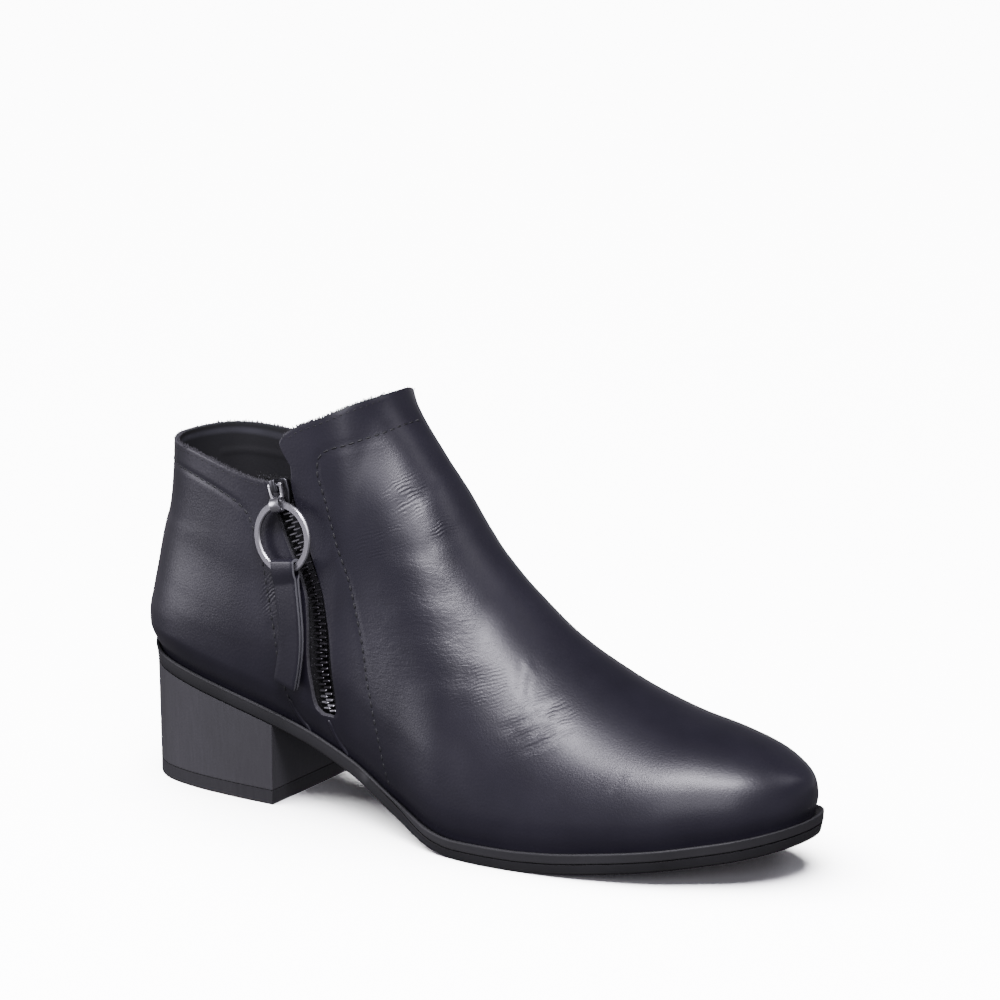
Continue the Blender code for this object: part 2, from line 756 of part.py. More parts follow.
def heel_place(u, v, drop):
    """Place on the heel's plan; drop is 0 under the sole and 1 on the floor."""
    breast = BREAST_STATION - BREAST_LEAN * drop
    breast_angle = float(turn(BREAST_STATION / SOLE_LENGTH))
    lateral = inset_point(breast_angle * u, -1, HEEL_INSET)
    medial = inset_point(breast_angle * u, 1, HEEL_INSET)
    start = HEEL_INSET + HEEL_BACK_TAPER * drop
    station = (lateral[0] + medial[0]) / 2
    along = (station - HEEL_INSET) / (BREAST_STATION - HEEL_INSET)
    x = start + (breast - start) * along
    x += ((lateral[0] - station) * (1 - v) + (medial[0] - station) * v) * (1 - along)
    half = (medial[1] - lateral[1]) / 2
    middle = (medial[1] + lateral[1]) / 2
    full_half = float(HEEL_WIDE[1] - HEEL_WIDE[0]) / 2
    half *= 1 - drop * HEEL_SIDE_TAPER / full_half
    return x, middle + (2 * v - 1) * half


def heel_level(drop, height):
    """Level map of the heel at a share of its drop."""
    def level(u, v):
        x, y = heel_place(u, v, drop)
        return x, y, float(height(x))
    return level


def make_heel():
    """Block heel under the sole and the top lift under the block."""
    lift_share = 1 - LIFT_THICKNESS / HEEL_RISE
    block = bmesh.new()
    loft_grid(block, HEEL_STATIONS, HEEL_ACROSS, [
        heel_level(lift_share, lambda x: LIFT_THICKNESS + GAP),
        heel_level(lift_share * 0.5, lambda x: LIFT_THICKNESS + (underside(x) - LIFT_THICKNESS) * 0.5),
        heel_level(0.0, lambda x: underside(x) - GAP),
    ])
    finish_object("heel_block", block, "rubber")
    lift = bmesh.new()
    loft_grid(lift, HEEL_STATIONS, HEEL_ACROSS, [
        heel_level(1.0, lambda x: 0.0),
        heel_level(lift_share, lambda x: LIFT_THICKNESS),
    ])
    finish_object("heel_lift", lift, "rubber")


def make_insole():
    """Flat sock board inside the upper."""
    def inset(share):
        return ledge(share) + WALL + INSOLE_GAP

    bm = bmesh.new()
    loft_grid(bm, SOLE_STATIONS, SOLE_ACROSS, [
        sole_level(inset, lambda s, x: seat(x) + GAP),
        sole_level(inset, lambda s, x: seat(x) + GAP + INSOLE_THICKNESS),
    ])
    return finish_object("insole", bm, "lining")


def seam_y(station, height):
    """y of the centre line, where the two sides meet."""
    return float(side_y(station, height, -1) + side_y(station, height, 1)) / 2


SEAM_ENDS = {0: (rear_place, medial_place), 1: (front_place, medial_place)}


def upper_corner(place, side):
    """Grid map of one patch of the upper."""
    def corner(u, v):
        row = UPPER_ROWS[round(v * (len(UPPER_ROWS) - 1))]
        station, height = place(min(max(u, 0.0), 1.0), row)
        if min(u, 1 - u) < 0.5 / MEDIAL_COLUMNS and place in SEAM_ENDS[round(u)]:
            return station, seam_y(station, height), height
        return station, float(side_y(station, height, side)), height
    return corner


def make_upper():
    """Leather shell with a real wall, open at the collar, along the zip slit and underneath."""
    rows = len(UPPER_ROWS) - 1
    bm = bmesh.new()
    lay_grid(bm, REAR_COLUMNS, rows, upper_corner(rear_place, -1))
    lay_grid(bm, FRONT_COLUMNS, rows, upper_corner(front_place, -1))
    lay_grid(bm, MEDIAL_COLUMNS, rows, upper_corner(medial_place, 1))
    made = bmesh.ops.create_grid(bm, x_segments=SLIT_COLUMNS, y_segments=SLIT_ROW, size=0.5)["verts"]
    corner = upper_corner(under_slit_place, -1)
    for vert in made:
        vert.co = placed(*corner(vert.co.x + 0.5, (vert.co.y + 0.5) * SLIT_ROW / rows))
    upper = finish_object("upper", bm, "leather", 60.0)
    wall = upper.modifiers.new("wall", "SOLIDIFY")
    wall.thickness = WALL
    wall.offset = -1.0
    wall.use_even_offset = True
    wall.use_rim = True
    return upper


def zip_point(share, across, depth):
    """Place by the zip: share of its height, distance to the front of the teeth, depth under the face."""
    step = 0.01
    height = ZIP_FOOT + ZIP_HEIGHT * share
    run = float(zip_station(share + step) - zip_station(share - step)) / (2 * step * ZIP_HEIGHT)
    length = math.hypot(1.0, run)
    return outer_point(float(zip_station(share)) + across / length, height - across * run / length, -1, depth)


def zip_level(low, high, near, far, depth):
    """Level map of a strip along the zip."""
    def level(u, v):
        return zip_point(low + (high - low) * v, near + (far - near) * u, depth)
    return level


def make_zip():
    """Two tapes and the closed row of teeth, all behind the leather."""
    outer = WALL + GAP
    chain_half = CHAIN_WIDTH / 2
    for name, near, far in (("zip_tape_rear", -chain_half - GAP - TAPE_WIDTH, -chain_half - GAP),
                            ("zip_tape_front", chain_half + GAP, chain_half + GAP + TAPE_WIDTH)):
        bm = bmesh.new()
        loft_grid(bm, TAPE_COLUMNS, TAPE_ROWS, [
            zip_level(TAPE_LOW, TAPE_HIGH, near, far, outer + TAPE_THICKNESS),
            zip_level(TAPE_LOW, TAPE_HIGH, near, far, outer),
        ])
        finish_object(name, bm, "tape")
    teeth = round(ZIP_HEIGHT * (CHAIN_HIGH - CHAIN_LOW) / TOOTH_PITCH)
    rows = 2 * teeth

    def face(u, v):
        groove = TOOTH_DEPTH if round(v * rows) % 2 else 0.0
        return zip_point(CHAIN_LOW + (CHAIN_HIGH - CHAIN_LOW) * v, -chain_half + CHAIN_WIDTH * u,
                         outer + groove)

    bm = bmesh.new()
    loft_grid(bm, 2, rows, [
        zip_level(CHAIN_LOW, CHAIN_HIGH, -chain_half, chain_half, outer + CHAIN_THICKNESS),
        face,
    ])
    finish_object("zip_teeth", bm, "dark_metal", 20.0)


def box_mesh(bm, low, high):
    """A box between two corners."""
    matrix = Matrix.Translation([(a + b) / 2 for a, b in zip(low, high)])
    matrix = matrix @ Matrix.Diagonal([b - a for a, b in zip(low, high)]).to_4x4()
    return bmesh.ops.create_cube(bm, size=1.0, matrix=matrix)["verts"]


def rod_mesh(bm, centre, radius, length, steps=ROUND_STEPS):
    """A round rod along X."""
    matrix = Matrix.Translation(centre) @ Matrix.Rotation(math.pi / 2, 4, "Y")
    return bmesh.ops.create_cone(bm, cap_ends=True, segments=steps, radius1=radius, radius2=radius,
                                 depth=length, matrix=matrix)["verts"]


def prism_mesh(bm, outline, near, far):
    """An outline in the XZ plane, pulled from one y to another."""
    verts = [bm.verts.new((x, near, z)) for x, z in outline]
    face = bm.faces.new(verts)
    grown = bmesh.ops.extrude_face_region(bm, geom=[face])["geom"]
    moved = [item for item in grown if isinstance(item, bmesh.types.BMVert)]
    bmesh.ops.translate(bm, verts=moved, vec=(0.0, far - near, 0.0))


def framed(name, bm, material, frame, smooth_angle=35.0):
    """Put a mesh made in a local frame in the scene with its origin on that frame."""
    thing = finish_object(name, bm, material, smooth_angle)
    thing.matrix_world = frame
    return thing


def combine(base, tool, operation):
    """Boolean on an object, with the tool hidden as a guide."""
    step = base.modifiers.new(tool.name, "BOOLEAN")
    step.operation = operation
    step.solver = "EXACT"
    step.object = tool
    tool.hide_render = True
    tool.display_type = "WIRE"


def axes_frame(origin, across, inward, up):
    """Matrix of a frame with its X across, Y into the leather and Z up."""
    turned = Matrix((across, inward, up)).transposed().to_4x4()
    return Matrix.Translation(placed(*origin)) @ turned


def slider_axes():
    """Origin and axes of the slider: on the leather's face, X across the zip, Z up along it."""
    step = 0.015
    origin = zip_point(SLIDER_SHARE, 0.0, 0.0)
    up = (zip_point(SLIDER_SHARE + step, 0.0, 0.0) - zip_point(SLIDER_SHARE - step, 0.0, 0.0)).normalized()
    side = zip_point(SLIDER_SHARE, SLIDER_WIDTH / 2, 0.0) - zip_point(SLIDER_SHARE, -SLIDER_WIDTH / 2, 0.0)
    inward = up.cross(side.normalized()).normalized()
    return origin, inward.cross(up).normalized(), inward, up


def pull_frames():
    """Frames of the slider, of the link on its pin, of the ring in the eye and of the tab on the ring."""
    origin, across, inward, up = slider_axes()
    slider = axes_frame(origin, across, inward, up)
    pin = origin + up * PIN_STEP - inward * (SLIDER_PROUD + BRIDGE_HEIGHT / 2)
    link = axes_frame(pin, across, inward, up)
    swung = link @ Matrix.Rotation(-PULL_TILT, 4, "X")
    plumb = Vector((0.0, 0.0, 1.0))
    level_inward = plumb.cross(across).normalized()
    hung = Matrix((level_inward.cross(plumb), level_inward, plumb)).transposed().to_4x4()
    ring = Matrix.Translation(swung @ Vector((0.0, -EYE_OUT, -LINK_LENGTH))) @ hung
    ring = ring @ Matrix.Rotation(-PULL_TILT, 4, "X") @ Matrix.Rotation(-RING_LEAN, 4, "Y")
    ring = ring @ Matrix.Rotation(-RING_YAW, 4, "Z")
    centre = Matrix.Translation((0.0, 0.0, -(RING_RADIUS - RING_BAND / 2)))
    tab = ring @ centre @ Matrix.Rotation(-TAB_TURN, 4, "Y")
    return slider, link, swung, ring, tab


def make_slider(frame, pin_frame):
    """Slider body in the slit with the level bridge that holds the pin."""
    wide = SLIDER_WIDTH / 2
    narrow = SLIDER_FOOT_WIDTH / 2
    half = SLIDER_LENGTH / 2
    cut = SLIDER_CORNER
    body = bmesh.new()
    prism_mesh(body, [(-narrow, -half), (narrow, -half), (wide, 0.0), (wide, half - cut),
                      (wide - cut, half), (cut - wide, half), (-wide, half - cut), (-wide, 0.0)],
               WALL - GAP, -SLIDER_PROUD)
    slider = framed("zip_slider", body, "dark_metal", frame)
    edge = slider.modifiers.new("edge", "BEVEL")
    edge.width = SLIDER_EDGE
    edge.segments = 1
    edge.limit_method = "ANGLE"
    bridge = bmesh.new()
    box_mesh(bridge, (-BRIDGE_WIDTH / 2, -BRIDGE_HEIGHT / 2, -BRIDGE_LENGTH / 2),
             (BRIDGE_WIDTH / 2, BRIDGE_HEIGHT / 2 + SLIDER_PROUD, BRIDGE_LENGTH / 2))
    combine(slider, framed("guide_bridge", bridge, "dark_metal", pin_frame), "UNION")
    bore = bmesh.new()
    rod_mesh(bore, (0.0, 0.0, 0.0), PIN_RADIUS + PIN_PLAY, SLIDER_WIDTH)
    combine(slider, framed("guide_bridge_bore", bore, "dark_metal", pin_frame), "DIFFERENCE")


def make_link(frame):
    """Link: a fork on the slider's pin with an eye below for the ring."""
    inner = BRIDGE_WIDTH / 2 + LINK_SIDE_PLAY
    outer = inner + LINK_ARM
    crotch = -BRIDGE_LENGTH / 2 - LINK_END_PLAY
    fork = bmesh.new()
    prism_mesh(fork, [(-outer, LINK_HEAD), (-outer, crotch - EYE_WALL), (outer, crotch - EYE_WALL),
                      (outer, LINK_HEAD), (inner, LINK_HEAD), (inner, crotch), (-inner, crotch),
                      (-inner, LINK_HEAD)], -LINK_THICKNESS / 2, LINK_THICKNESS / 2)
    link = framed("pull_link", fork, "ring_metal", frame)
    eye = bmesh.new()
    rod_mesh(eye, (0.0, -EYE_OUT, -LINK_LENGTH), EYE_BORE + EYE_WALL, EYE_WIDTH, EYE_STEPS)
    combine(link, framed("guide_eye", eye, "ring_metal", frame), "UNION")
    pin = bmesh.new()
    rod_mesh(pin, (0.0, 0.0, 0.0), PIN_RADIUS, 2 * inner + LINK_ARM)
    combine(link, framed("guide_pin", pin, "ring_metal", frame), "UNION")
    bore = bmesh.new()
    rod_mesh(bore, (0.0, -EYE_OUT, -LINK_LENGTH), EYE_BORE, EYE_WIDTH * 2, EYE_STEPS)
    combine(link, framed("guide_eye_bore", bore, "ring_metal", frame), "DIFFERENCE")


def make_ring(frame):
    """Flat ring with broken edges; its origin is in the link's eye."""
    drop = RING_RADIUS - RING_BAND / 2
    deep = RING_BAND / 2
    thick = RING_THICKNESS / 2
    section = [(-deep + RING_EDGE, -thick), (deep - RING_EDGE, -thick), (deep, -thick + RING_EDGE),
               (deep, thick - RING_EDGE), (deep - RING_EDGE, thick), (-deep + RING_EDGE, thick),
               (-deep, thick - RING_EDGE), (-deep, -thick + RING_EDGE)]
    bm = bmesh.new()
    verts = [bm.verts.new((0.0, y, z)) for z, y in section]
    edges = [bm.edges.new((verts[i - 1], verts[i])) for i in range(len(verts))]
    bmesh.ops.spin(bm, geom=verts + edges, cent=(0.0, 0.0, -drop), axis=(0.0, 1.0, 0.0),
                   angle=2 * math.pi, steps=RING_STEPS, use_merge=True)
    framed("pull_ring", bm, "ring_metal", frame)


def tab_section():
    """Side view of the folded strip: out from the front layer's foot, round the ring and back."""
    inner_radius = RING_RADIUS - RING_BAND
    half = TAB_WIDTH / 2
    bay = RING_THICKNESS / 2 + TAB_PLAY
    top = -math.sqrt(inner_radius ** 2 - half ** 2) + TAB_PLAY
    low = -RING_RADIUS - TAB_PLAY
    outer_crown, inner_crown = 0.6, 0.4
    seam = TAB_PLAY / 2
    outside = [(-(bay + TAB_LAYER), low)]
    inside = [(-bay, low)]
    for i in range(FOLD_STEPS + 1):
        angle = math.pi * i / FOLD_STEPS
        y = -math.cos(angle)
        rise = math.sin(angle)
        outside.append(((bay + TAB_LAYER) * y, top + (bay + TAB_LAYER) * rise * outer_crown))
        inside.append((bay * y, top + bay * (rise - 1) * inner_crown))
    outside.append((bay + TAB_LAYER, low))
    inside.append((bay, low))
    drops = [low - 2 * TAB_LAYER - TAB_LENGTH * i / TAB_ROWS for i in range(TAB_ROWS + 1)]
    front_out = [(-(seam + TAB_LAYER), z) for z in reversed(drops)]
    front_in = [(-seam, z) for z in drops]
    back_out = [(-y, z) for y, z in reversed(front_out)]
    back_in = [(-y, z) for y, z in reversed(front_in)]
    return front_out + outside + back_out + back_in + list(reversed(inside)) + front_in


def bend_strap(verts):
    """Hang the straight strap plumb, bowed forwards in the middle and curved in towards the leather."""
    lean = math.tan(RING_LEAN + TAB_TURN)
    for vert in verts:
        hang = max(-RING_RADIUS - vert.co.z, 0.0)
        share = hang / TAB_LENGTH
        swing = math.pi * share ** BOW_POWER
        slope = math.cos(swing) * math.pi * BOW_POWER * share ** (BOW_POWER - 1) * TAB_BOW / TAB_LENGTH
        vert.co.z += vert.co.x * (slope - lean * min(1.0, share / STRAP_SETTLES))
        vert.co.x += TAB_BOW * math.sin(swing) - lean * hang
        vert.co.y += TAB_CURVE * share ** 2


def make_tab(frame):
    """Leather strip folded through the ring, both layers hanging together."""
    bm = bmesh.new()
    outline = tab_section()
    verts = [bm.verts.new((-TAB_WIDTH / 2, y, z)) for y, z in outline]
    edges = [bm.edges.new((verts[i - 1], verts[i])) for i in range(len(verts))]
    face = bmesh.ops.contextual_create(bm, geom=edges)["faces"]
    grown = bmesh.ops.extrude_face_region(bm, geom=face)["geom"]
    moved = [item for item in grown if isinstance(item, bmesh.types.BMVert)]
    bmesh.ops.translate(bm, verts=moved, vec=(TAB_WIDTH, 0.0, 0.0))
    bend_strap(bm.verts)
    bmesh.ops.triangulate(bm, faces=bm.faces)
    framed("pull_tab", bm, "leather", frame)


def box_middle():
    """Middle of the boot's box seen from above: the heel's bulge to the toe, and the sole's two sides."""
    angles = np.linspace(0, 1, SOLE_STATIONS + 1)
    rear = min(0.0, FEATHER_BACK + BACK_LEAN * float(min(column(BACK_CURVE, 1))))
    lateral = min(outline_point(a, -1)[1] for a in angles)
    medial = max(outline_point(a, 1)[1] for a in angles)
    return (rear + SOLE_LENGTH) / 2, (lateral + medial) / 2


ORIGIN_X, ORIGIN_Y = box_middle()


def clear_scene():
    """Start from an empty scene."""
    for thing in list(bpy.data.objects):
        bpy.data.objects.remove(thing, do_unlink=True)


def main():
    """Build every piece of the boot."""
    clear_scene()
    make_outsole()
    make_heel()
    make_insole()
    make_upper()
    make_zip()
    slider, pin, link, ring, tab = pull_frames()
    make_slider(slider, pin)
    make_link(link)
    make_ring(ring)
    make_tab(tab)


main()
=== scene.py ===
# Looks of the zip ankle boot: leather shell with its creases and seams, sole, heel, zip and pull.
# Lengths are metres. The toe points along +X, the lateral (zip) side faces -Y and the floor is z = 0.
# The form follows the same sizes and tables as the solids, read here at finer steps.

import json
import math

import bmesh
import bpy
import numpy as np
from mathutils import Matrix, Vector

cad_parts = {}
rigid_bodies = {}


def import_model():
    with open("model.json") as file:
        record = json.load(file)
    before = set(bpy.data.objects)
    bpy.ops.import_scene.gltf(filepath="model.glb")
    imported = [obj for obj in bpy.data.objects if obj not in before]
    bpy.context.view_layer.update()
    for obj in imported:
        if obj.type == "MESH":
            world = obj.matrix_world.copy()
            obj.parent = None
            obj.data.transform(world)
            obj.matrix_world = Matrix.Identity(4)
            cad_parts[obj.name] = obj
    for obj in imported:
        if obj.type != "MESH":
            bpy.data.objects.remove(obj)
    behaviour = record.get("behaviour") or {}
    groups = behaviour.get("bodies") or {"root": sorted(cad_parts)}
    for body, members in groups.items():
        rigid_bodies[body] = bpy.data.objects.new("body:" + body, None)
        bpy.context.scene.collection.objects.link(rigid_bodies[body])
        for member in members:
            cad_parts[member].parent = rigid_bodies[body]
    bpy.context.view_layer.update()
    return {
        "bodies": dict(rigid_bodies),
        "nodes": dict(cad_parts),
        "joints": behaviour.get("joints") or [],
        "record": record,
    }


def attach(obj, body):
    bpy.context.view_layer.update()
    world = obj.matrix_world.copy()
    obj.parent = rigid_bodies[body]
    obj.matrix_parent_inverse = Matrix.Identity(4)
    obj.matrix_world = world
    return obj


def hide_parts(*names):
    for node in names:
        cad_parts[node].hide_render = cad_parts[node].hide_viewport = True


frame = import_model()

# Sole
SOLE_LENGTH = 0.2533
LATERAL_HALF = 0.0423
MEDIAL_HALF = 0.0430
TOE_SWING = 0.0110
HEEL_RISE = 0.0440
TOE_SPRING = 0.0136
SOLE_HEEL_THICKNESS = 0.0054
SOLE_BALL_THICKNESS = 0.0074
SIDE_SLOPE = 0.0008
GROOVE_HEIGHT = 0.0006
RIM_HEIGHT = 0.0012
LEDGE_HEEL = 0.0020
LEDGE_TOE = 0.0030
RIM_GAP = 0.0007
GAP = 0.0003

# Heel
LIFT_THICKNESS = 0.0052
HEEL_INSET = 0.0009
BREAST_STATION = 0.0641
BREAST_LEAN = 0.0016
HEEL_SIDE_TAPER = 0.0032
HEEL_BACK_TAPER = 0.0004

# Upper
WALL = 0.0018
INSOLE_THICKNESS = 0.0020
INSOLE_GAP = 0.0005
COLLAR_RISE = 0.0752
BACK_LEAN = 0.0092
FRONT_RISE = 0.1237
RIDGE_OFFSET = 0.0110
BULGE = 0.0040
BULGE_HEIGHT = 0.0300
HEEL_ROUND = 0.0260
COLLAR_CORNER_RISE = 0.0842
TOE_BULGE = 0.0010
TOE_BULGE_HEIGHT = 0.0070

# Zip
ZIP_STATION = 0.0889
ZIP_FOOT_RISE = 0.0118
ZIP_TOP_DROP = 0.0068
ZIP_LEAN = 0.0213
SLIT_WIDTH = 0.0100
CHAIN_WIDTH = 0.0054
CHAIN_THICKNESS = 0.0022
TAPE_WIDTH = 0.0085
TAPE_THICKNESS = 0.0008

# Slider and pull
SLIDER_WIDTH = 0.0070
SLIDER_FOOT_WIDTH = 0.0048
SLIDER_LENGTH = 0.0095
SLIDER_PROUD = 0.0008
SLIDER_CORNER = 0.00095
SLIDER_SHARE = 0.966
BRIDGE_WIDTH = 0.0024
BRIDGE_LENGTH = 0.0048
BRIDGE_HEIGHT = 0.0042
PIN_STEP = 0.0026
PIN_RADIUS = 0.0007
LINK_ARM = 0.0011
LINK_SIDE_PLAY = 0.0004
LINK_END_PLAY = 0.0014
LINK_THICKNESS = 0.0013
LINK_HEAD = 0.0009
EYE_WIDTH = 0.0036
EYE_WALL = 0.0007
EYE_PLAY = 0.00055
EYE_OUT = 0.0009
RING_RADIUS = 0.0125
RING_BAND = 0.0025
RING_THICKNESS = 0.0014
RING_EDGE = 0.0003
TAB_WIDTH = 0.0098
TAB_LENGTH = 0.0360
TAB_LAYER = 0.0011
TAB_PLAY = 0.0003
TAB_CURVE = 0.0016
TAB_BOW = 0.0024
TAB_TURN = math.radians(-4.0)
PULL_TILT = math.radians(4.5)
RING_YAW = math.radians(11.0)
RING_LEAN = math.radians(13.0)

# Where forms start and end, as shares of the sole's or the upper's length
BOW_POWER = 1.3
STRAP_SETTLES = 0.5
SWING_FROM = 0.541
SWING_POWER = 1.7
THICKENS = (0.25, 0.72)
LEDGE_WIDENS = (0.35, 0.60)
GROOVE_STARTS = (0.40, 0.46)
GROOVE_FALLS = (0.42, 0.56)
BACK_REACH = 0.36
BACK_CLOSES = 0.12
TOE_FROM = 0.75

# Other shares: groove height on the side at the heel and its fall, slope of the upper band,
# where the rear rim starts to fall, ends of the tape and of the teeth on the zip's height
GROOVE_REAR = 0.90
GROOVE_DROP = 0.38
BAND_SLOPE = 0.3
RIM_FALLS = 0.25
TAPE_LOW = -0.03
TAPE_HIGH = 1.01
CHAIN_LOW = 0.005
CHAIN_HIGH = 0.966

# Worked out: the eye lets the ring's section turn, and the link reaches under the bridge
EYE_BORE = math.hypot(RING_BAND, RING_THICKNESS) / 2 + EYE_PLAY
LINK_LENGTH = BRIDGE_LENGTH / 2 + LINK_END_PLAY + EYE_WALL + EYE_BORE

# Mesh steps
SOLE_STATIONS = 140
SOLE_ACROSS = 8
HEEL_STATIONS = 48
HEEL_ACROSS = 10
TAB_ROWS = 26
FOLD_STEPS = 14
WELD = 0.00001
NORMAL_STEP = 0.001

# Sole outline. Columns: share of the length, lateral half width, medial half width (shares of each)
SOLE_OUTLINE = (
    (0.000, 0.000, 0.000),
    (0.008, 0.222, 0.212),
    (0.020, 0.348, 0.330),
    (0.036, 0.463, 0.440),
    (0.060, 0.568, 0.535),
    (0.107, 0.655, 0.616),
    (0.146, 0.686, 0.644),
    (0.205, 0.702, 0.655),
    (0.304, 0.702, 0.632),
    (0.383, 0.726, 0.612),
    (0.462, 0.830, 0.655),
    (0.541, 0.960, 0.785),
    (0.620, 1.000, 0.930),
    (0.699, 0.976, 1.000),
    (0.778, 0.913, 0.940),
    (0.837, 0.837, 0.850),
    (0.896, 0.697, 0.705),
    (0.936, 0.589, 0.592),
    (0.967, 0.452, 0.450),
    (0.987, 0.300, 0.300),
    (1.000, 0.000, 0.000),
)

# Underside. Columns: share of the length, share of the heel rise, share of the toe spring
SOLE_PROFILE = (
    (0.000, 0.997, 0.000),
    (0.107, 0.873, 0.000),
    (0.225, 0.723, 0.000),
    (0.304, 0.598, 0.000),
    (0.383, 0.420, 0.000),
    (0.462, 0.200, 0.000),
    (0.541, 0.023, 0.000),
    (0.569, 0.000, 0.000),
    (0.651, 0.000, 0.000),
    (0.699, 0.000, 0.044),
    (0.778, 0.000, 0.213),
    (0.857, 0.000, 0.427),
    (0.936, 0.000, 0.706),
    (1.000, 0.000, 1.000),
)

# Ridge of the upper from toe to collar, carried on above it. Columns: share of the upper's length,
# height as a share of the front rise, sideways offset as a share of the ridge offset, fullness
RIDGE = (
    (0.000, 3.600, 0.000, 2.60),
    (0.100, 2.950, 0.000, 2.60),
    (0.200, 2.250, 0.000, 2.60),
    (0.300, 1.540, 0.030, 2.55),
    (0.345, 1.210, 0.060, 2.50),
    (0.379, 1.000, 0.090, 2.45),
    (0.430, 0.900, 0.150, 2.30),
    (0.470, 0.838, 0.190, 2.20),
    (0.519, 0.738, 0.260, 2.10),
    (0.567, 0.652, 0.340, 2.00),
    (0.632, 0.535, 0.450, 1.95),
    (0.695, 0.450, 0.580, 1.95),
    (0.757, 0.378, 0.700, 2.00),
    (0.819, 0.318, 0.800, 2.10),
    (0.879, 0.272, 0.900, 2.20),
    (0.927, 0.226, 0.950, 2.30),
    (0.967, 0.170, 0.980, 2.40),
    (0.990, 0.128, 1.000, 2.40),
    (1.000, 0.080, 1.000, 2.40),
)

# Centre back. Columns: share of the collar rise, forward step as a share of the back lean
BACK_CURVE = (
    (0.000, 0.000),
    (0.050, -0.180),
    (0.110, -0.320),
    (0.170, -0.320),
    (0.270, -0.180),
    (0.400, 0.020),
    (0.530, 0.200),
    (0.610, 0.360),
    (0.660, 0.500),
    (0.760, 0.640),
    (0.880, 0.720),
    (1.000, 0.760),
)

# How far the side stands out from its edge at the seat, as shares of the bulge.
# Columns: share of the bulge height, heel, waist, ball, toe
SIDE_BULGE = (
    (0.00, 0.00, 0.00, 0.00, 0.00),
    (0.05, 0.10, 0.08, 0.05, 0.05),
    (0.20, 0.70, 0.50, 0.30, 0.32),
    (0.40, 1.08, 0.90, 0.48, 0.52),
    (0.70, 1.02, 1.20, 0.55, 0.60),
    (1.00, 0.85, 1.35, 0.60, 0.60),
    (1.60, 0.55, 1.25, 0.60, 0.60),
    (2.40, 0.55, 0.95, 0.60, 0.60),
    (3.50, 0.55, 0.80, 0.60, 0.60),
)
BULGE_STATIONS = (0.10, 0.36, 0.64, 0.92)

# Zip line and slit. Columns: share of the zip's height, forward lean of the teeth as a share of the
# zip lean, rear and front edge of the slit from the teeth as shares of the slit width
ZIP_LINE = (
    (0.000, 1.000, 0.26, 0.26),
    (0.030, 0.976, 0.46, 0.44),
    (0.100, 0.948, 0.53, 0.50),
    (0.190, 0.892, 0.53, 0.52),
    (0.290, 0.854, 0.50, 0.49),
    (0.370, 0.831, 0.47, 0.45),
    (0.450, 0.784, 0.42, 0.41),
    (0.530, 0.718, 0.37, 0.40),
    (0.600, 0.614, 0.35, 0.41),
    (0.660, 0.505, 0.37, 0.44),
    (0.790, 0.288, 0.43, 0.46),
    (0.920, 0.100, 0.44, 0.44),
    (1.000, 0.000, 0.52, 0.46),
)

# Rounded upper corner of the front flap, from the slit to the rim.
# Columns: share of the way from the zip top to the corner rise, forward step as a share of the slit width
FLAP_EDGE = (
    (0.00, 0.46),
    (0.40, 0.40),
    (0.58, 0.20),
    (0.75, 0.02),
    (0.88, -0.06),
    (1.00, 0.02),
)

# Front rim from the flap corner to the peak. Columns: share of the run, share of the climb
FLAP_RIM = (
    (0.00, 0.00),
    (0.15, 0.24),
    (0.30, 0.38),
    (0.50, 0.54),
    (0.75, 0.78),
    (1.00, 1.00),
)

# Medial rim. Columns: share of the way from back to peak, share of the climb between them
MEDIAL_RIM = (
    (0.00, 0.00),
    (0.06, 0.02),
    (0.14, 0.00),
    (0.23, -0.035),
    (0.32, -0.070),
    (0.45, -0.060),
    (0.65, 0.11),
    (0.80, 0.36),
    (0.92, 0.72),
    (1.00, 1.00),
)

# Rows of the upper, each a share of the way from the seat to the rim
UPPER_ROWS = (0.0, 0.025, 0.055, 0.090, 0.105, 0.150, 0.200, 0.255, 0.315, 0.375, 0.435, 0.500,
              0.565, 0.630, 0.695, 0.760, 0.825, 0.885, 0.945, 1.0)
SLIT_ROW = 3


def column(table, index):
    """One column of a table as an array."""
    return np.array([row[index] for row in table])


def smooth_read(keys, values, at):
    """Read a table between its rows on a curve that never overshoots them."""
    keys = np.asarray(keys, float)
    values = np.asarray(values, float)
    at = np.clip(np.asarray(at, float), keys[0], keys[-1])
    steps = np.diff(keys)
    slopes = np.diff(values) / steps
    tangents = np.zeros(len(keys))
    for i in range(1, len(keys) - 1):
        if slopes[i - 1] * slopes[i] > 0:
            first = 2 * steps[i] + steps[i - 1]
            second = steps[i] + 2 * steps[i - 1]
            tangents[i] = (first + second) / (first / slopes[i - 1] + second / slopes[i])
    tangents[0] = slopes[0]
    tangents[-1] = slopes[-1]
    place = np.clip(np.searchsorted(keys, at, side="right") - 1, 0, len(keys) - 2)
    step = steps[place]
    t = (at - keys[place]) / step
    return (values[place] * (2 * t**3 - 3 * t**2 + 1) + tangents[place] * step * (t**3 - 2 * t**2 + t)
            + values[place + 1] * (3 * t**2 - 2 * t**3) + tangents[place + 1] * step * (t**3 - t**2))


def turn(share):
    """Angle share of a length share, so that both ends of an outline come out round."""
    return np.arccos(1 - 2 * np.clip(share, 0.0, 1.0)) / math.pi


def unturn(angle_share):
    """Length share of an angle share."""
    return (1 - np.cos(math.pi * np.asarray(angle_share, float))) / 2


def blend(low, high, at):
    """Smooth step from 0 at low to 1 at high."""
    t = np.clip((np.asarray(at, float) - low) / (high - low), 0.0, 1.0)
    return t * t * (3 - 2 * t)


# Sole functions. Stations run from 0 at the back of the heel to the sole's length at the toe.

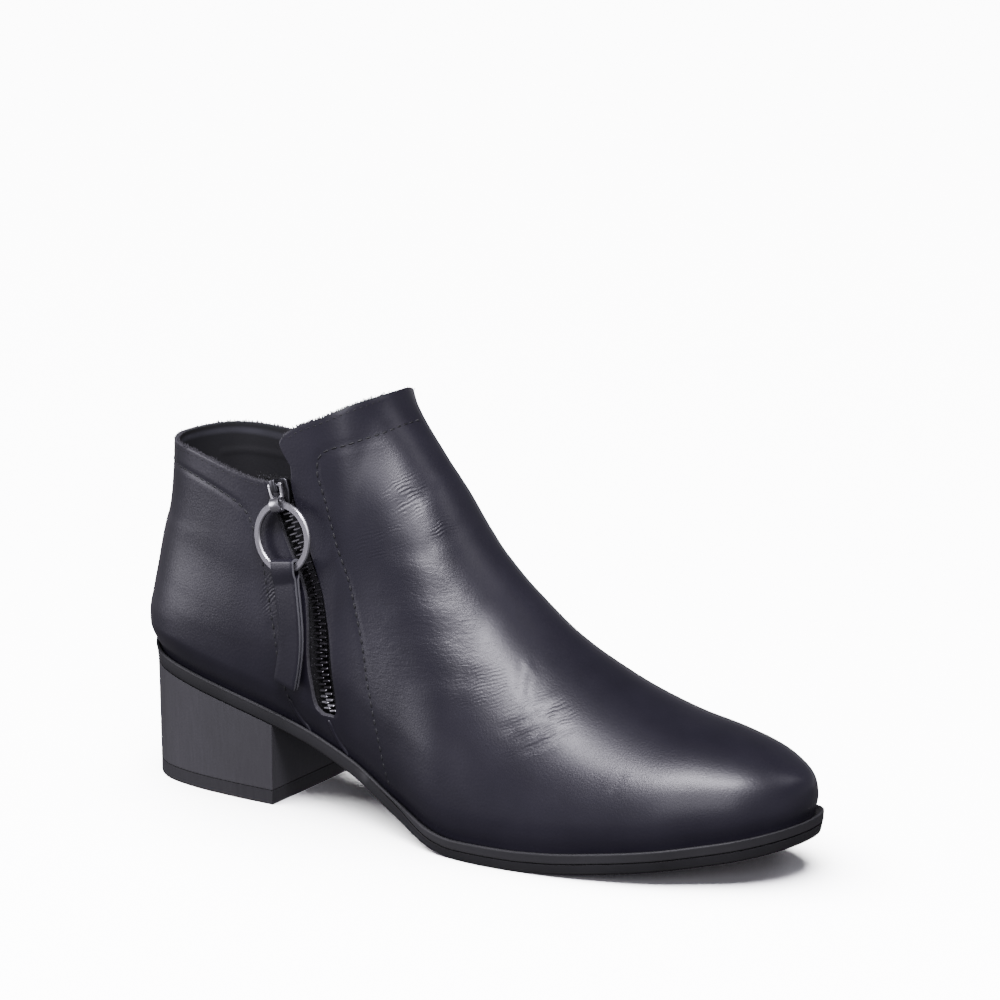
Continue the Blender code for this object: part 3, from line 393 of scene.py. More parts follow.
def underside(station):
    """Height of the underside of the sole."""
    share = np.asarray(station, float) / SOLE_LENGTH
    keys = column(SOLE_PROFILE, 0)
    return (HEEL_RISE * smooth_read(keys, column(SOLE_PROFILE, 1), share)
            + TOE_SPRING * smooth_read(keys, column(SOLE_PROFILE, 2), share))


def edge_thickness(station):
    """Height of the sole's side up to its rim."""
    share = np.asarray(station, float) / SOLE_LENGTH
    return SOLE_HEEL_THICKNESS + (SOLE_BALL_THICKNESS - SOLE_HEEL_THICKNESS) * blend(*THICKENS, share)


def seat(station):
    """Height of the sole's top face inside its rim."""
    return underside(station) + edge_thickness(station) - RIM_HEIGHT


def ledge(share):
    """Width of the sole outside the upper."""
    return LEDGE_HEEL + (LEDGE_TOE - LEDGE_HEEL) * blend(*LEDGE_WIDENS, share)


def outline_point(angle_share, side):
    """Point of the sole's outline; side is -1 for lateral and 1 for medial."""
    share = unturn(angle_share)
    table_column, half = (1, LATERAL_HALF) if side < 0 else (2, MEDIAL_HALF)
    width = half * smooth_read(turn(column(SOLE_OUTLINE, 0)), column(SOLE_OUTLINE, table_column),
                               angle_share)
    centre = TOE_SWING * np.clip((share - SWING_FROM) / (1 - SWING_FROM), 0, 1) ** SWING_POWER
    return np.stack([SOLE_LENGTH * share, centre + side * width], -1)


def inset_point(angle_share, side, inset):
    """Point of the sole's outline moved inwards along its own normal."""
    step = 0.004
    before = np.clip(angle_share - step, 0, 1)
    after = np.clip(angle_share + step, 0, 1)
    start = outline_point(before, side)
    finish = outline_point(after, side)
    if angle_share - step < 0:
        start = outline_point(step - angle_share, -side)
    if angle_share + step > 1:
        finish = outline_point(2 - angle_share - step, -side)
    along = (finish - start) / np.linalg.norm(finish - start)
    inward = np.array([along[1], -along[0]]) * side
    return outline_point(angle_share, side) + inward * inset


def make_feather():
    """The upper's edge on the seat: for each side, angle shares against widths, with its two ends."""
    samples = 241
    angles = np.linspace(0, 1, samples)
    sides = {side: np.array([inset_point(a, side, ledge(unturn(a))) for a in angles]) for side in (-1, 1)}
    back = sides[1][0, 0]
    toe = sides[1][-1, 0]
    tables = {}
    for side, points in sides.items():
        shares = np.clip((points[:, 0] - back) / (toe - back), 0, 1)
        order = np.argsort(shares)
        tables[side] = (turn(shares[order]), points[order, 1])
    return back, toe, tables


FEATHER_BACK, FEATHER_TOE, FEATHER = make_feather()
UPPER_LENGTH = FEATHER_TOE - FEATHER_BACK
HEEL_SEAT = float(seat(FEATHER_BACK))
COLLAR_HEIGHT = HEEL_SEAT + COLLAR_RISE


# Upper functions. A side is given as y for a place (station, height) seen from the side.

def back_station(height):
    """Station of the centre back at a height."""
    share = (np.asarray(height, float) - HEEL_SEAT) / COLLAR_RISE
    return FEATHER_BACK + BACK_LEAN * smooth_read(column(BACK_CURVE, 0), column(BACK_CURVE, 1), share)


def ridge_rise(level):
    """Height of the ridge over the seat, carried on above the collar."""
    share = (np.asarray(level, float) - FEATHER_BACK) / UPPER_LENGTH
    return FRONT_RISE * smooth_read(turn(column(RIDGE, 0)), column(RIDGE, 1), turn(share))


def toe_step(level, rise):
    """How far the toe stands forward of its edge at the seat."""
    share = (level - FEATHER_BACK) / UPPER_LENGTH
    return TOE_BULGE * blend(0.0, TOE_BULGE_HEIGHT, rise) * blend(TOE_FROM, 1.0, share)


def side_y(station, height, side):
    """The upper's outer face: y at a station and height on one side."""
    station = np.asarray(station, float)
    height = np.asarray(height, float)
    rise = np.maximum(height - seat(station), 0)
    shift = back_station(height) - FEATHER_BACK
    reach = 1 - blend(0.0, BACK_REACH, (station - FEATHER_BACK) / UPPER_LENGTH)
    level = station
    for _ in range(3):
        level = station - shift * reach - toe_step(level, rise)
    share = np.clip((level - FEATHER_BACK) / UPPER_LENGTH, 0, 1)
    angle = turn(share)
    edge = np.interp(angle, *FEATHER[side])
    end_distance = np.minimum(share, 1 - share) * UPPER_LENGTH
    squareness = np.sqrt(1 - (1 - np.clip(end_distance / HEEL_ROUND, 0, 1)) ** 2)
    stands = np.stack([smooth_read(column(SIDE_BULGE, 0), column(SIDE_BULGE, i + 1), rise / BULGE_HEIGHT)
                       for i in range(len(BULGE_STATIONS))])
    weights = bulge_weights(share)
    bulge = BULGE * (stands * weights).sum(0) * squareness
    keys = turn(column(RIDGE, 0))
    ridge_y = RIDGE_OFFSET * smooth_read(keys, column(RIDGE, 2), angle)
    fullness = smooth_read(keys, column(RIDGE, 3), angle)
    climb = np.clip(rise / np.maximum(ridge_rise(level), WELD), 0, 1)
    roundness = (1 - climb ** fullness) ** (1 / fullness)
    middle = np.interp(angle, (FEATHER[1][0] + FEATHER[-1][0]) / 2, (FEATHER[1][1] + FEATHER[-1][1]) / 2)
    closing = blend(0.0, BACK_CLOSES, share)
    ridge_y = middle + (ridge_y - middle) * closing
    return ridge_y + (edge + side * bulge - ridge_y) * roundness


def bulge_weights(share):
    """Share of each bulge column at a place along the upper."""
    share = np.asarray(share, float)
    reading = np.interp(share, BULGE_STATIONS, range(len(BULGE_STATIONS)))
    return np.stack([np.clip(1 - np.abs(reading - i), 0, 1) for i in range(len(BULGE_STATIONS))])


def outer_point(station, height, side, depth=0.0):
    """Point of the upper's face, or one a depth below it."""
    step = 0.0006
    y = float(side_y(station, height, side))
    slope_x = float(side_y(station + step, height, side) - side_y(station - step, height, side)) / (2 * step)
    slope_z = float(side_y(station, height + step, side) - side_y(station, height - step, side)) / (2 * step)
    normal = Vector((-slope_x, 1.0, -slope_z)).normalized() * side
    return Vector((station, y, height)) - normal * depth


def face_and_normal(station, height, side):
    """Point of the upper's face and the direction out of it there."""
    face = outer_point(station, height, side)
    return face, (face - outer_point(station, height, side, NORMAL_STEP)).normalized()


# Zip line in the side view

ZIP_FOOT = float(seat(ZIP_STATION)) + ZIP_FOOT_RISE
ZIP_TOP = COLLAR_HEIGHT - ZIP_TOP_DROP
ZIP_HEIGHT = ZIP_TOP - ZIP_FOOT
ZIP_TOP_STATION = ZIP_STATION - ZIP_LEAN


def zip_station(share):
    """Station of the teeth at a share of the zip's height."""
    return ZIP_TOP_STATION + ZIP_LEAN * smooth_read(column(ZIP_LINE, 0), column(ZIP_LINE, 1), share)


def slit_station(share, which):
    """Station of the slit's rear (-1) or front (1) edge at a share of the zip's height."""
    offset = smooth_read(column(ZIP_LINE, 0), column(ZIP_LINE, 2 if which < 0 else 3), share)
    return zip_station(share) + which * SLIT_WIDTH * offset


PEAK_SHARE = next(row[0] for row in RIDGE if row[1] <= 1.0)
PEAK_STATION = FEATHER_BACK + UPPER_LENGTH * PEAK_SHARE
PEAK_HEIGHT = float(seat(PEAK_STATION) + ridge_rise(PEAK_STATION))
CORNER_HEIGHT = HEEL_SEAT + COLLAR_CORNER_RISE


def ridge_path():
    """The front boundary seen from the side: up the toe wall, then back along the ridge to the peak."""
    along, up = 160, 8
    levels = FEATHER_BACK + UPPER_LENGTH * unturn(np.linspace(1, float(turn(PEAK_SHARE)), along))
    foot = float(seat(FEATHER_TOE))
    wall = np.linspace(GAP, float(ridge_rise(FEATHER_TOE)), up)[:-1]
    points = [(FEATHER_TOE + float(toe_step(FEATHER_TOE, rise)), foot + rise) for rise in wall]
    for level in levels:
        rise = float(ridge_rise(level))
        station = level + float(toe_step(level, rise))
        points.append((station, float(seat(station)) + rise))
    return np.array(points)


RIDGE_PATH = ridge_path()
RIDGE_RUN = np.concatenate([[0], np.cumsum(np.linalg.norm(np.diff(RIDGE_PATH, axis=0), axis=1))])


def front_edge(row):
    """Front boundary at a row share."""
    reach = RIDGE_RUN[-1] * row
    return np.array([np.interp(reach, RIDGE_RUN, RIDGE_PATH[:, i]) for i in range(2)])


def back_edge(row):
    """Centre back at a row share."""
    height = HEEL_SEAT + GAP + (COLLAR_RISE - GAP) * row
    return np.array([float(back_station(height)), height])


def seat_edge(angle_share):
    """Bottom edge of the upper at an angle share."""
    station = FEATHER_BACK + UPPER_LENGTH * float(unturn(angle_share))
    return np.array([station, float(seat(station)) + GAP])


def slit_edge(row, which):
    """Edge column beside the slit, from the seat through the slit to the rim."""
    slit_share = UPPER_ROWS[SLIT_ROW]
    if row <= slit_share:
        foot = slit_station(0.0, which)
        base = float(seat(foot)) + GAP
        return np.array([foot, base + (ZIP_FOOT - base) * row / slit_share])
    part = (row - slit_share) / (1 - slit_share)
    if which < 0:
        return np.array([slit_station(part, which), ZIP_FOOT + ZIP_HEIGHT * part])
    whole = CORNER_HEIGHT - ZIP_FOOT
    height = ZIP_FOOT + whole * part
    if height <= ZIP_TOP:
        return np.array([slit_station((height - ZIP_FOOT) / ZIP_HEIGHT, which), height])
    rest = (height - ZIP_TOP) / (CORNER_HEIGHT - ZIP_TOP)
    step = SLIT_WIDTH * smooth_read(column(FLAP_EDGE, 0), column(FLAP_EDGE, 1), rest)
    return np.array([ZIP_TOP_STATION + step, height])


def rear_rim(share):
    """Lateral rim from the centre back to the slit."""
    start = back_edge(1.0)
    finish = slit_edge(1.0, -1)
    drop = blend(RIM_FALLS, 1.0, share)
    return np.array([start[0] + (finish[0] - start[0]) * share, start[1] + (finish[1] - start[1]) * drop])


def flap_rim(share):
    """Lateral rim from the flap corner to the peak."""
    start = slit_edge(1.0, 1)
    climb = smooth_read(column(FLAP_RIM, 0), column(FLAP_RIM, 1), share)
    return np.array([start[0] + (PEAK_STATION - start[0]) * share,
                     start[1] + (PEAK_HEIGHT - start[1]) * climb])


def medial_rim(share):
    """Medial rim from the centre back to the peak."""
    start = back_edge(1.0)
    climb = smooth_read(column(MEDIAL_RIM, 0), column(MEDIAL_RIM, 1), share)
    return np.array([start[0] + (PEAK_STATION - start[0]) * share,
                     start[1] + (PEAK_HEIGHT - start[1]) * climb])


REAR_FOOT_ANGLE = float(turn((slit_station(0.0, -1) - FEATHER_BACK) / UPPER_LENGTH))
FRONT_FOOT_ANGLE = float(turn((slit_station(0.0, 1) - FEATHER_BACK) / UPPER_LENGTH))


def box_middle():
    """Middle of the boot's box seen from above: the heel's bulge to the toe, and the sole's two sides."""
    angles = np.linspace(0, 1, SOLE_STATIONS + 1)
    rear = min(0.0, FEATHER_BACK + BACK_LEAN * float(min(column(BACK_CURVE, 1))))
    lateral = min(outline_point(a, -1)[1] for a in angles)
    medial = max(outline_point(a, 1)[1] for a in angles)
    return (rear + SOLE_LENGTH) / 2, (lateral + medial) / 2


ORIGIN_X, ORIGIN_Y = box_middle()


def placed(x, y, z):
    """Shoe coordinates to part coordinates: the origin is under the middle of the box."""
    return Vector((x - ORIGIN_X, y - ORIGIN_Y, z))


def loft_grid(bm, columns, rows, levels):
    """A closed solid: a grid laid at the first level, then pulled through the other levels."""
    u_layer = bm.verts.layers.float.new("u")
    v_layer = bm.verts.layers.float.new("v")
    verts = bmesh.ops.create_grid(bm, x_segments=columns, y_segments=rows, size=0.5)["verts"]
    for vert in verts:
        vert[u_layer] = vert.co.x + 0.5
        vert[v_layer] = vert.co.y + 0.5
        vert.co = placed(*levels[0](vert[u_layer], vert[v_layer]))
    cap = list(bm.faces)
    for count, level in enumerate(levels[1:]):
        grown = bmesh.ops.extrude_face_region(bm, geom=cap)["geom"]
        if count:
            bmesh.ops.delete(bm, geom=[face for face in cap if face.is_valid], context="FACES")
        cap = [item for item in grown if isinstance(item, bmesh.types.BMFace)]
        for vert in {vert for face in cap for vert in face.verts}:
            vert.co = placed(*level(vert[u_layer], vert[v_layer]))


def groove_share(share):
    """Height of the side groove as a share of the side, from the waist forwards."""
    return GROOVE_REAR - GROOVE_DROP * blend(*GROOVE_FALLS, share)


def sole_level(inset, lift):
    """Level map of the sole: inset(share) from the outline and lift(share, station) above the floor."""
    ends = {}

    def level(u, v):
        share = float(unturn(u))
        key = round(u * SOLE_STATIONS * 100)
        if key not in ends:
            ends[key] = inset_point(u, -1, inset(share)), inset_point(u, 1, inset(share))
        lateral, medial = ends[key]
        x, y = lateral + (medial - lateral) * v
        return x, y, float(lift(share, x))
    return level


HEEL_WIDE = [inset_point(float(turn(BREAST_STATION / SOLE_LENGTH)), side, HEEL_INSET)[1] for side in (-1, 1)]


def heel_place(u, v, drop):
    """Place on the heel's plan; drop is 0 under the sole and 1 on the floor."""
    breast = BREAST_STATION - BREAST_LEAN * drop
    breast_angle = float(turn(BREAST_STATION / SOLE_LENGTH))
    lateral = inset_point(breast_angle * u, -1, HEEL_INSET)
    medial = inset_point(breast_angle * u, 1, HEEL_INSET)
    start = HEEL_INSET + HEEL_BACK_TAPER * drop
    station = (lateral[0] + medial[0]) / 2
    along = (station - HEEL_INSET) / (BREAST_STATION - HEEL_INSET)
    x = start + (breast - start) * along
    x += ((lateral[0] - station) * (1 - v) + (medial[0] - station) * v) * (1 - along)
    half = (medial[1] - lateral[1]) / 2
    middle = (medial[1] + lateral[1]) / 2
    full_half = float(HEEL_WIDE[1] - HEEL_WIDE[0]) / 2
    half *= 1 - drop * HEEL_SIDE_TAPER / full_half
    return x, middle + (2 * v - 1) * half


def heel_level(drop, height):
    """Level map of the heel at a share of its drop."""
    def level(u, v):
        x, y = heel_place(u, v, drop)
        return x, y, float(height(x))
    return level


def zip_point(share, across, depth):
    """Place by the zip: share of its height, distance to the front of the teeth, depth under the face."""
    step = 0.01
    height = ZIP_FOOT + ZIP_HEIGHT * share
    run = float(zip_station(share + step) - zip_station(share - step)) / (2 * step * ZIP_HEIGHT)
    length = math.hypot(1.0, run)
    station = float(zip_station(share)) + across / length
    return outer_point(station, height - across * run / length, -1, depth)


def zip_level(low, high, near, far, depth):
    """Level map of a strip along the zip."""
    def level(u, v):
        return zip_point(low + (high - low) * v, near + (far - near) * u, depth)
    return level


def box_mesh(bm, low, high):
    """A box between two corners."""
    matrix = Matrix.Translation([(a + b) / 2 for a, b in zip(low, high)])
    matrix = matrix @ Matrix.Diagonal([b - a for a, b in zip(low, high)]).to_4x4()
    return bmesh.ops.create_cube(bm, size=1.0, matrix=matrix)["verts"]


def rod_mesh(bm, centre, radius, length, steps=24):
    """A round rod along X."""
    matrix = Matrix.Translation(centre) @ Matrix.Rotation(math.pi / 2, 4, "Y")
    return bmesh.ops.create_cone(bm, cap_ends=True, segments=steps, radius1=radius, radius2=radius,
                                 depth=length, matrix=matrix)["verts"]


def prism_mesh(bm, outline, near, far):
    """An outline in the XZ plane, pulled from one y to another."""
    verts = [bm.verts.new((x, near, z)) for x, z in outline]
    face = bm.faces.new(verts)
    grown = bmesh.ops.extrude_face_region(bm, geom=[face])["geom"]
    moved = [item for item in grown if isinstance(item, bmesh.types.BMVert)]
    bmesh.ops.translate(bm, verts=moved, vec=(0.0, far - near, 0.0))


def axes_frame(origin, across, inward, up):
    """Matrix of a frame with its X across, Y into the leather and Z up."""
    turned = Matrix((across, inward, up)).transposed().to_4x4()
    return Matrix.Translation(placed(*origin)) @ turned


def slider_axes():
    """Origin and axes of the slider: on the leather's face, X across the zip, Z up along it."""
    step = 0.015
    origin = zip_point(SLIDER_SHARE, 0.0, 0.0)
    up = (zip_point(SLIDER_SHARE + step, 0.0, 0.0) - zip_point(SLIDER_SHARE - step, 0.0, 0.0)).normalized()
    side = zip_point(SLIDER_SHARE, SLIDER_WIDTH / 2, 0.0) - zip_point(SLIDER_SHARE, -SLIDER_WIDTH / 2, 0.0)
    inward = up.cross(side.normalized()).normalized()
    return origin, inward.cross(up).normalized(), inward, up


def pull_frames():
    """Frames of the slider, of the link on its pin, of the ring in the eye and of the tab on the ring."""
    origin, across, inward, up = slider_axes()
    slider = axes_frame(origin, across, inward, up)
    pin = origin + up * PIN_STEP - inward * (SLIDER_PROUD + BRIDGE_HEIGHT / 2)
    link = axes_frame(pin, across, inward, up)
    swung = link @ Matrix.Rotation(-PULL_TILT, 4, "X")
    plumb = Vector((0.0, 0.0, 1.0))
    level_inward = plumb.cross(across).normalized()
    hung = Matrix((level_inward.cross(plumb), level_inward, plumb)).transposed().to_4x4()
    ring = Matrix.Translation(swung @ Vector((0.0, -EYE_OUT, -LINK_LENGTH))) @ hung
    ring = ring @ Matrix.Rotation(-PULL_TILT, 4, "X") @ Matrix.Rotation(-RING_LEAN, 4, "Y")
    ring = ring @ Matrix.Rotation(-RING_YAW, 4, "Z")
    centre = Matrix.Translation((0.0, 0.0, -(RING_RADIUS - RING_BAND / 2)))
    tab = ring @ centre @ Matrix.Rotation(-TAB_TURN, 4, "Y")
    return slider, link, swung, ring, tab


def tab_section():
    """Side view of the folded strip: out from the front layer's foot, round the ring and back."""
    inner_radius = RING_RADIUS - RING_BAND
    half = TAB_WIDTH / 2
    bay = RING_THICKNESS / 2 + TAB_PLAY
    top = -math.sqrt(inner_radius ** 2 - half ** 2) + TAB_PLAY
    low = -RING_RADIUS - TAB_PLAY
    outer_crown, inner_crown = 0.6, 0.4
    seam = TAB_PLAY / 2
    outside = [(-(bay + TAB_LAYER), low)]
    inside = [(-bay, low)]
    for i in range(FOLD_STEPS + 1):
        angle = math.pi * i / FOLD_STEPS
        y = -math.cos(angle)
        rise = math.sin(angle)
        outside.append(((bay + TAB_LAYER) * y, top + (bay + TAB_LAYER) * rise * outer_crown))
        inside.append((bay * y, top + bay * (rise - 1) * inner_crown))
    outside.append((bay + TAB_LAYER, low))
    inside.append((bay, low))
    drops = [low - 2 * TAB_LAYER - TAB_LENGTH * i / TAB_ROWS for i in range(TAB_ROWS + 1)]
    front_out = [(-(seam + TAB_LAYER), z) for z in reversed(drops)]
    front_in = [(-seam, z) for z in drops]
    back_out = [(-y, z) for y, z in reversed(front_out)]
    back_in = [(-y, z) for y, z in reversed(front_in)]
    return front_out + outside + back_out + back_in + list(reversed(inside)) + front_in


def bend_strap(verts):
    """Hang the straight strap plumb, bowed forwards in the middle and curved in towards the leather."""
    lean = math.tan(RING_LEAN + TAB_TURN)
    for vert in verts:
        hang = max(-RING_RADIUS - vert.co.z, 0.0)
        share = hang / TAB_LENGTH
        swing = math.pi * share ** BOW_POWER
        slope = math.cos(swing) * math.pi * BOW_POWER * share ** (BOW_POWER - 1) * TAB_BOW / TAB_LENGTH
        vert.co.z += vert.co.x * (slope - lean * min(1.0, share / STRAP_SETTLES))
        vert.co.x += TAB_BOW * math.sin(swing) - lean * hang
        vert.co.y += TAB_CURVE * share ** 2


# Finer steps of the pieces that show
ROW_SPLIT = 6
FINE_REAR = 56
FINE_SLIT = 6
FINE_FRONT = 118
FINE_MEDIAL = 160

# Places on the upper in shoe coordinates: where the leather flexes
FLEX_CENTRE = (0.128, -0.030, 0.074)
INNER_FLEX_CENTRE = (0.130, 0.026, 0.072)
FLEX_RADII = (0.034, 0.024, 0.034)

# Painted sheen on the zip teeth, a brighter colour standing in for highlights: at the foot of the slit and
# inside the ring. Centre and radii
PAINTED_SHEEN_LOW = (0.0885, -0.0330, 0.0395), (0.0110, 0.0110, 0.0085)
PAINTED_SHEEN_IN_RING = (0.0755, -0.0300, 0.1010), (0.0120, 0.0120, 0.0140)

# Colours, each as its dark and its light
LEATHER_SHADES = (0.0084, 0.0074, 0.0130), (0.0150, 0.0135, 0.0215)
RAW_EDGE_SHADES = (0.018, 0.017, 0.021), (0.090, 0.088, 0.098)
LINING_SHADES = (0.0050, 0.0050, 0.0062), (0.0100, 0.0100, 0.0120)
LINING_LINE = (0.042, 0.042, 0.052)
SOLE_SHADES = (0.017, 0.017, 0.018), (0.028, 0.028, 0.030)
HEEL_SHADES = (0.047, 0.046, 0.050), (0.060, 0.059, 0.064)
LIFT_SHADES = (0.024, 0.024, 0.026), (0.036, 0.035, 0.038)
TREAD_SHADES = (0.010, 0.010, 0.011), (0.022, 0.022, 0.024)
# The light one of the teeth's shades is painted sheen, standing in for highlights
TEETH_PLATING_AND_PAINTED_SHEEN = (0.095, 0.092, 0.100), (0.50, 0.50, 0.52)
TAPE_SHADES = (0.0055, 0.0055, 0.0065), (0.085, 0.085, 0.095)
THREAD_SHADES = (0.0045, 0.0045, 0.0055), (0.014, 0.014, 0.017)
SLIDER_COLOUR = (0.12, 0.12, 0.13)
RING_COLOUR = (0.29, 0.285, 0.305)
BRIGHT_COLOUR = (0.62, 0.62, 0.64)
STRAP_EDGE_COLOUR = (0.13, 0.13, 0.14)
FLOOR_COLOUR = (0.93, 0.93, 0.935)

# Fine texture
TREAD_RIB = 0.0032
WEAVE_PITCH = 0.0007

# Slow hollows and swellings. Columns: station, y, height, radius, rise
SWELLS = (
    (0.116, -0.022, 0.100, 0.013, -0.0005),
    (0.108, -0.028, 0.114, 0.009, 0.0003),
    (0.134, -0.030, 0.070, 0.018, -0.0003),
    (0.154, -0.028, 0.052, 0.012, -0.0004),
    (0.172, -0.024, 0.050, 0.011, 0.0003),
    (0.118, 0.020, 0.098, 0.013, -0.0005),
    (0.154, 0.030, 0.050, 0.012, -0.0004),
    (0.172, 0.034, 0.048, 0.011, 0.0003),
)

# Folds placed one by one. Columns: side, first station and height, last station and height,
# bow as a share of the length, half width, depth (negative stands out)
FOLDS = (
    (-1, 0.1597, 0.0647, 0.1629, 0.0540, 0.02, 0.0013, -0.00020),
    (-1, 0.1582, 0.0640, 0.1612, 0.0540, 0.02, 0.0013, 0.00018),
    (-1, 0.1000, 0.1060, 0.1160, 0.1200, 0.05, 0.0017, 0.00022),
    (-1, 0.1010, 0.1030, 0.1170, 0.1165, 0.05, 0.0015, 0.00018),
    (-1, 0.1030, 0.1010, 0.1160, 0.1120, 0.05, 0.0015, 0.00014),
    (-1, 0.1190, 0.1010, 0.1270, 0.1060, 0.05, 0.0014, 0.00018),
    (-1, 0.1205, 0.0990, 0.1275, 0.1035, 0.05, 0.0013, 0.00014),
    (-1, 0.1070, 0.0960, 0.1230, 0.0985, -0.05, 0.0028, 0.00014),
    (-1, 0.1080, 0.0840, 0.1330, 0.0850, -0.05, 0.0034, 0.00014),
    (-1, 0.1110, 0.0700, 0.1400, 0.0730, -0.05, 0.0034, 0.00013),
    (-1, 0.1200, 0.0560, 0.1520, 0.0600, -0.05, 0.0030, 0.00013),
    (-1, 0.1560, 0.0440, 0.1740, 0.0545, 0.05, 0.0017, 0.00017),
    (-1, 0.1600, 0.0415, 0.1765, 0.0515, 0.05, 0.0016, 0.00017),
    (-1, 0.1640, 0.0385, 0.1790, 0.0480, 0.05, 0.0016, 0.00014),
    (-1, 0.1970, 0.0295, 0.2002, 0.0366, 0.03, 0.0013, 0.00010),
    (1, 0.1130, 0.0920, 0.1340, 0.0930, -0.06, 0.0034, 0.00016),
    (1, 0.1090, 0.0780, 0.1400, 0.0780, -0.06, 0.0036, 0.00016),
    (1, 0.1490, 0.0420, 0.1690, 0.0560, 0.05, 0.0022, 0.00020),
    (1, 0.1570, 0.0390, 0.1740, 0.0520, 0.05, 0.0020, 0.00018),
    (1, 0.1040, 0.1060, 0.1160, 0.1160, 0.06, 0.0024, 0.00020),
)

# Bundles of fine creases. Columns: centre, direction along the creases, direction across them,
# half length, half breadth, spacing, depth in millimetres
CREASE_BUNDLES = (
    ((0.1100, -0.0150, 0.1145), (0.52, 0.76, 0.40), (0.50, -0.10, -0.86), 0.0120, 0.0090, 0.0013, 0.050),
    ((0.1225, -0.0120, 0.1050), (0.38, 0.89, 0.25), (0.50, -0.15, -0.85), 0.0070, 0.0055, 0.0012, 0.045),
    ((0.1050, -0.0230, 0.1000), (0.80, 0.40, 0.35), (0.40, -0.10, -0.86), 0.0120, 0.0080, 0.0013, 0.030),
    ((0.1680, -0.0260, 0.0470), (0.71, 0.60, 0.36), (0.61, -0.28, -0.74), 0.0150, 0.0125, 0.0014, 0.050),
    ((0.1500, -0.0310, 0.0600), (0.80, 0.50, 0.30), (0.40, -0.30, -0.85), 0.0160, 0.0120, 0.0013, 0.025),
    ((0.1660, 0.0300, 0.0460), (0.71, -0.60, 0.36), (0.61, 0.28, -0.74), 0.0150, 0.0125, 0.0014, 0.050),
    ((0.1120, 0.0160, 0.1100), (0.50, -0.70, 0.45), (0.50, 0.10, -0.86), 0.0110, 0.0090, 0.0013, 0.045),
)

# Sewn rows seen from the side. Columns: station, height
FRONT_ROW = ((0.1040, 0.1376), (0.1023, 0.1369), (0.0996, 0.1353), (0.0949, 0.1333), (0.0900, 0.1312),
             (0.0855, 0.1297), (0.0828, 0.1278), (0.0815, 0.1250), (0.0816, 0.1218), (0.0830, 0.1175),
             (0.0850, 0.1126), (0.0869, 0.1073), (0.0891, 0.1012), (0.0914, 0.0955), (0.0942, 0.0898),
             (0.0966, 0.0842), (0.0992, 0.0770), (0.1019, 0.0689), (0.1040, 0.0616), (0.1057, 0.0542),
             (0.1077, 0.0477), (0.1094, 0.0410), (0.1111, 0.0352), (0.1125, 0.0293), (0.1141, 0.0223),
             (0.1153, 0.0180))
REAR_ROW = ((0.0130, 0.1162), (0.0175, 0.1159), (0.0256, 0.1150), (0.0360, 0.1126), (0.0451, 0.1096),
            (0.0517, 0.1066), (0.0552, 0.1033), (0.0571, 0.0996), (0.0588, 0.0960), (0.0616, 0.0880),
            (0.0636, 0.0795), (0.0658, 0.0703), (0.0674, 0.0636), (0.0686, 0.0566), (0.0701, 0.0497),
            (0.0725, 0.0420), (0.0751, 0.0362), (0.0776, 0.0330))
REAR_SEAM = ((0.0725, 0.0420), (0.0751, 0.0362), (0.0776, 0.0326), (0.0800, 0.0302))
FOOT_SEAM = ((0.0893, 0.0368), (0.0911, 0.0315), (0.0936, 0.0272), (0.0958, 0.0245))
COLLAR_DROP = 0.0104
EDGE_DROP = 0.0017
INNER_ROW = tuple((float(medial_rim(t)[0]) + 0.0022, float(medial_rim(t)[1]) - COLLAR_DROP)
                  for t in np.linspace(0.02, 0.94, 16))
FLAP_EDGE_ROW = tuple((float(flap_rim(t)[0]) + 0.0006, float(flap_rim(t)[1]) - EDGE_DROP)
                      for t in np.linspace(0.06, 0.96, 12))
REAR_EDGE_ROW = tuple((float(rear_rim(t)[0]) + 0.0003, float(rear_rim(t)[1]) - EDGE_DROP)
                      for t in np.linspace(0.03, 0.95, 12))
INNER_EDGE_ROW = tuple((float(medial_rim(t)[0]) + 0.0005, float(medial_rim(t)[1]) - EDGE_DROP)
                       for t in np.linspace(0.02, 0.96, 20))

# Columns: line, side, pitch, length, breadth, sink
STITCH_ROWS = (
    (FRONT_ROW, -1, 0.0031, 0.0024, 0.00078, 0.00024),
    (REAR_ROW, -1, 0.0031, 0.0024, 0.00078, 0.00024),
    (INNER_ROW, 1, 0.0031, 0.0024, 0.00078, 0.00024),
    (FLAP_EDGE_ROW, -1, 0.0025, 0.0018, 0.00055, 0.00016),
    (REAR_EDGE_ROW, -1, 0.0025, 0.0018, 0.00055, 0.00016),
    (INNER_EDGE_ROW, 1, 0.0025, 0.0018, 0.00055, 0.00016),
)

# Fold section: shoulders beside the trough in half widths, and how soon it dies out at its ends
SHOULDER_RISE = 0.38
SHOULDER_AT = 1.9
SHOULDER_WIDE = 0.8
FOLD_ENDS = 1.6
FOLD_POINTS = 10
ROW_POINTS = 60
SEAT_HOLDS = 0.06

# Channels along the sewn rows
CHANNELS = ((FRONT_ROW, -1), (REAR_ROW, -1), (INNER_ROW, 1))
CHANNEL_HALF = 0.0009
CHANNEL_DEPTH = 0.00020

# Lapped edges of the short seams
LAP_STEPS = 28
LAP_WIDTH = 0.0016
LAP_RISE = 0.00045
LAP_SINK = 0.0006

# Sole and heel: rounded tread edge, side groove, lip and broken edges
TREAD_ROUND = 0.0006
FINE_GROOVE = 0.0008
LIP_ROUND = 0.0007
LIP_STEPS = 6
LIP_FULL = 0.999
LIP_INNER = 2.05
HAIR = 0.0001
HEEL_SOFT = 0.00035
HEEL_ROWS = 8

# Sock: its crowned edge
SOCK_SOFT = 0.0003
SOCK_EDGE_DROP = 0.0006

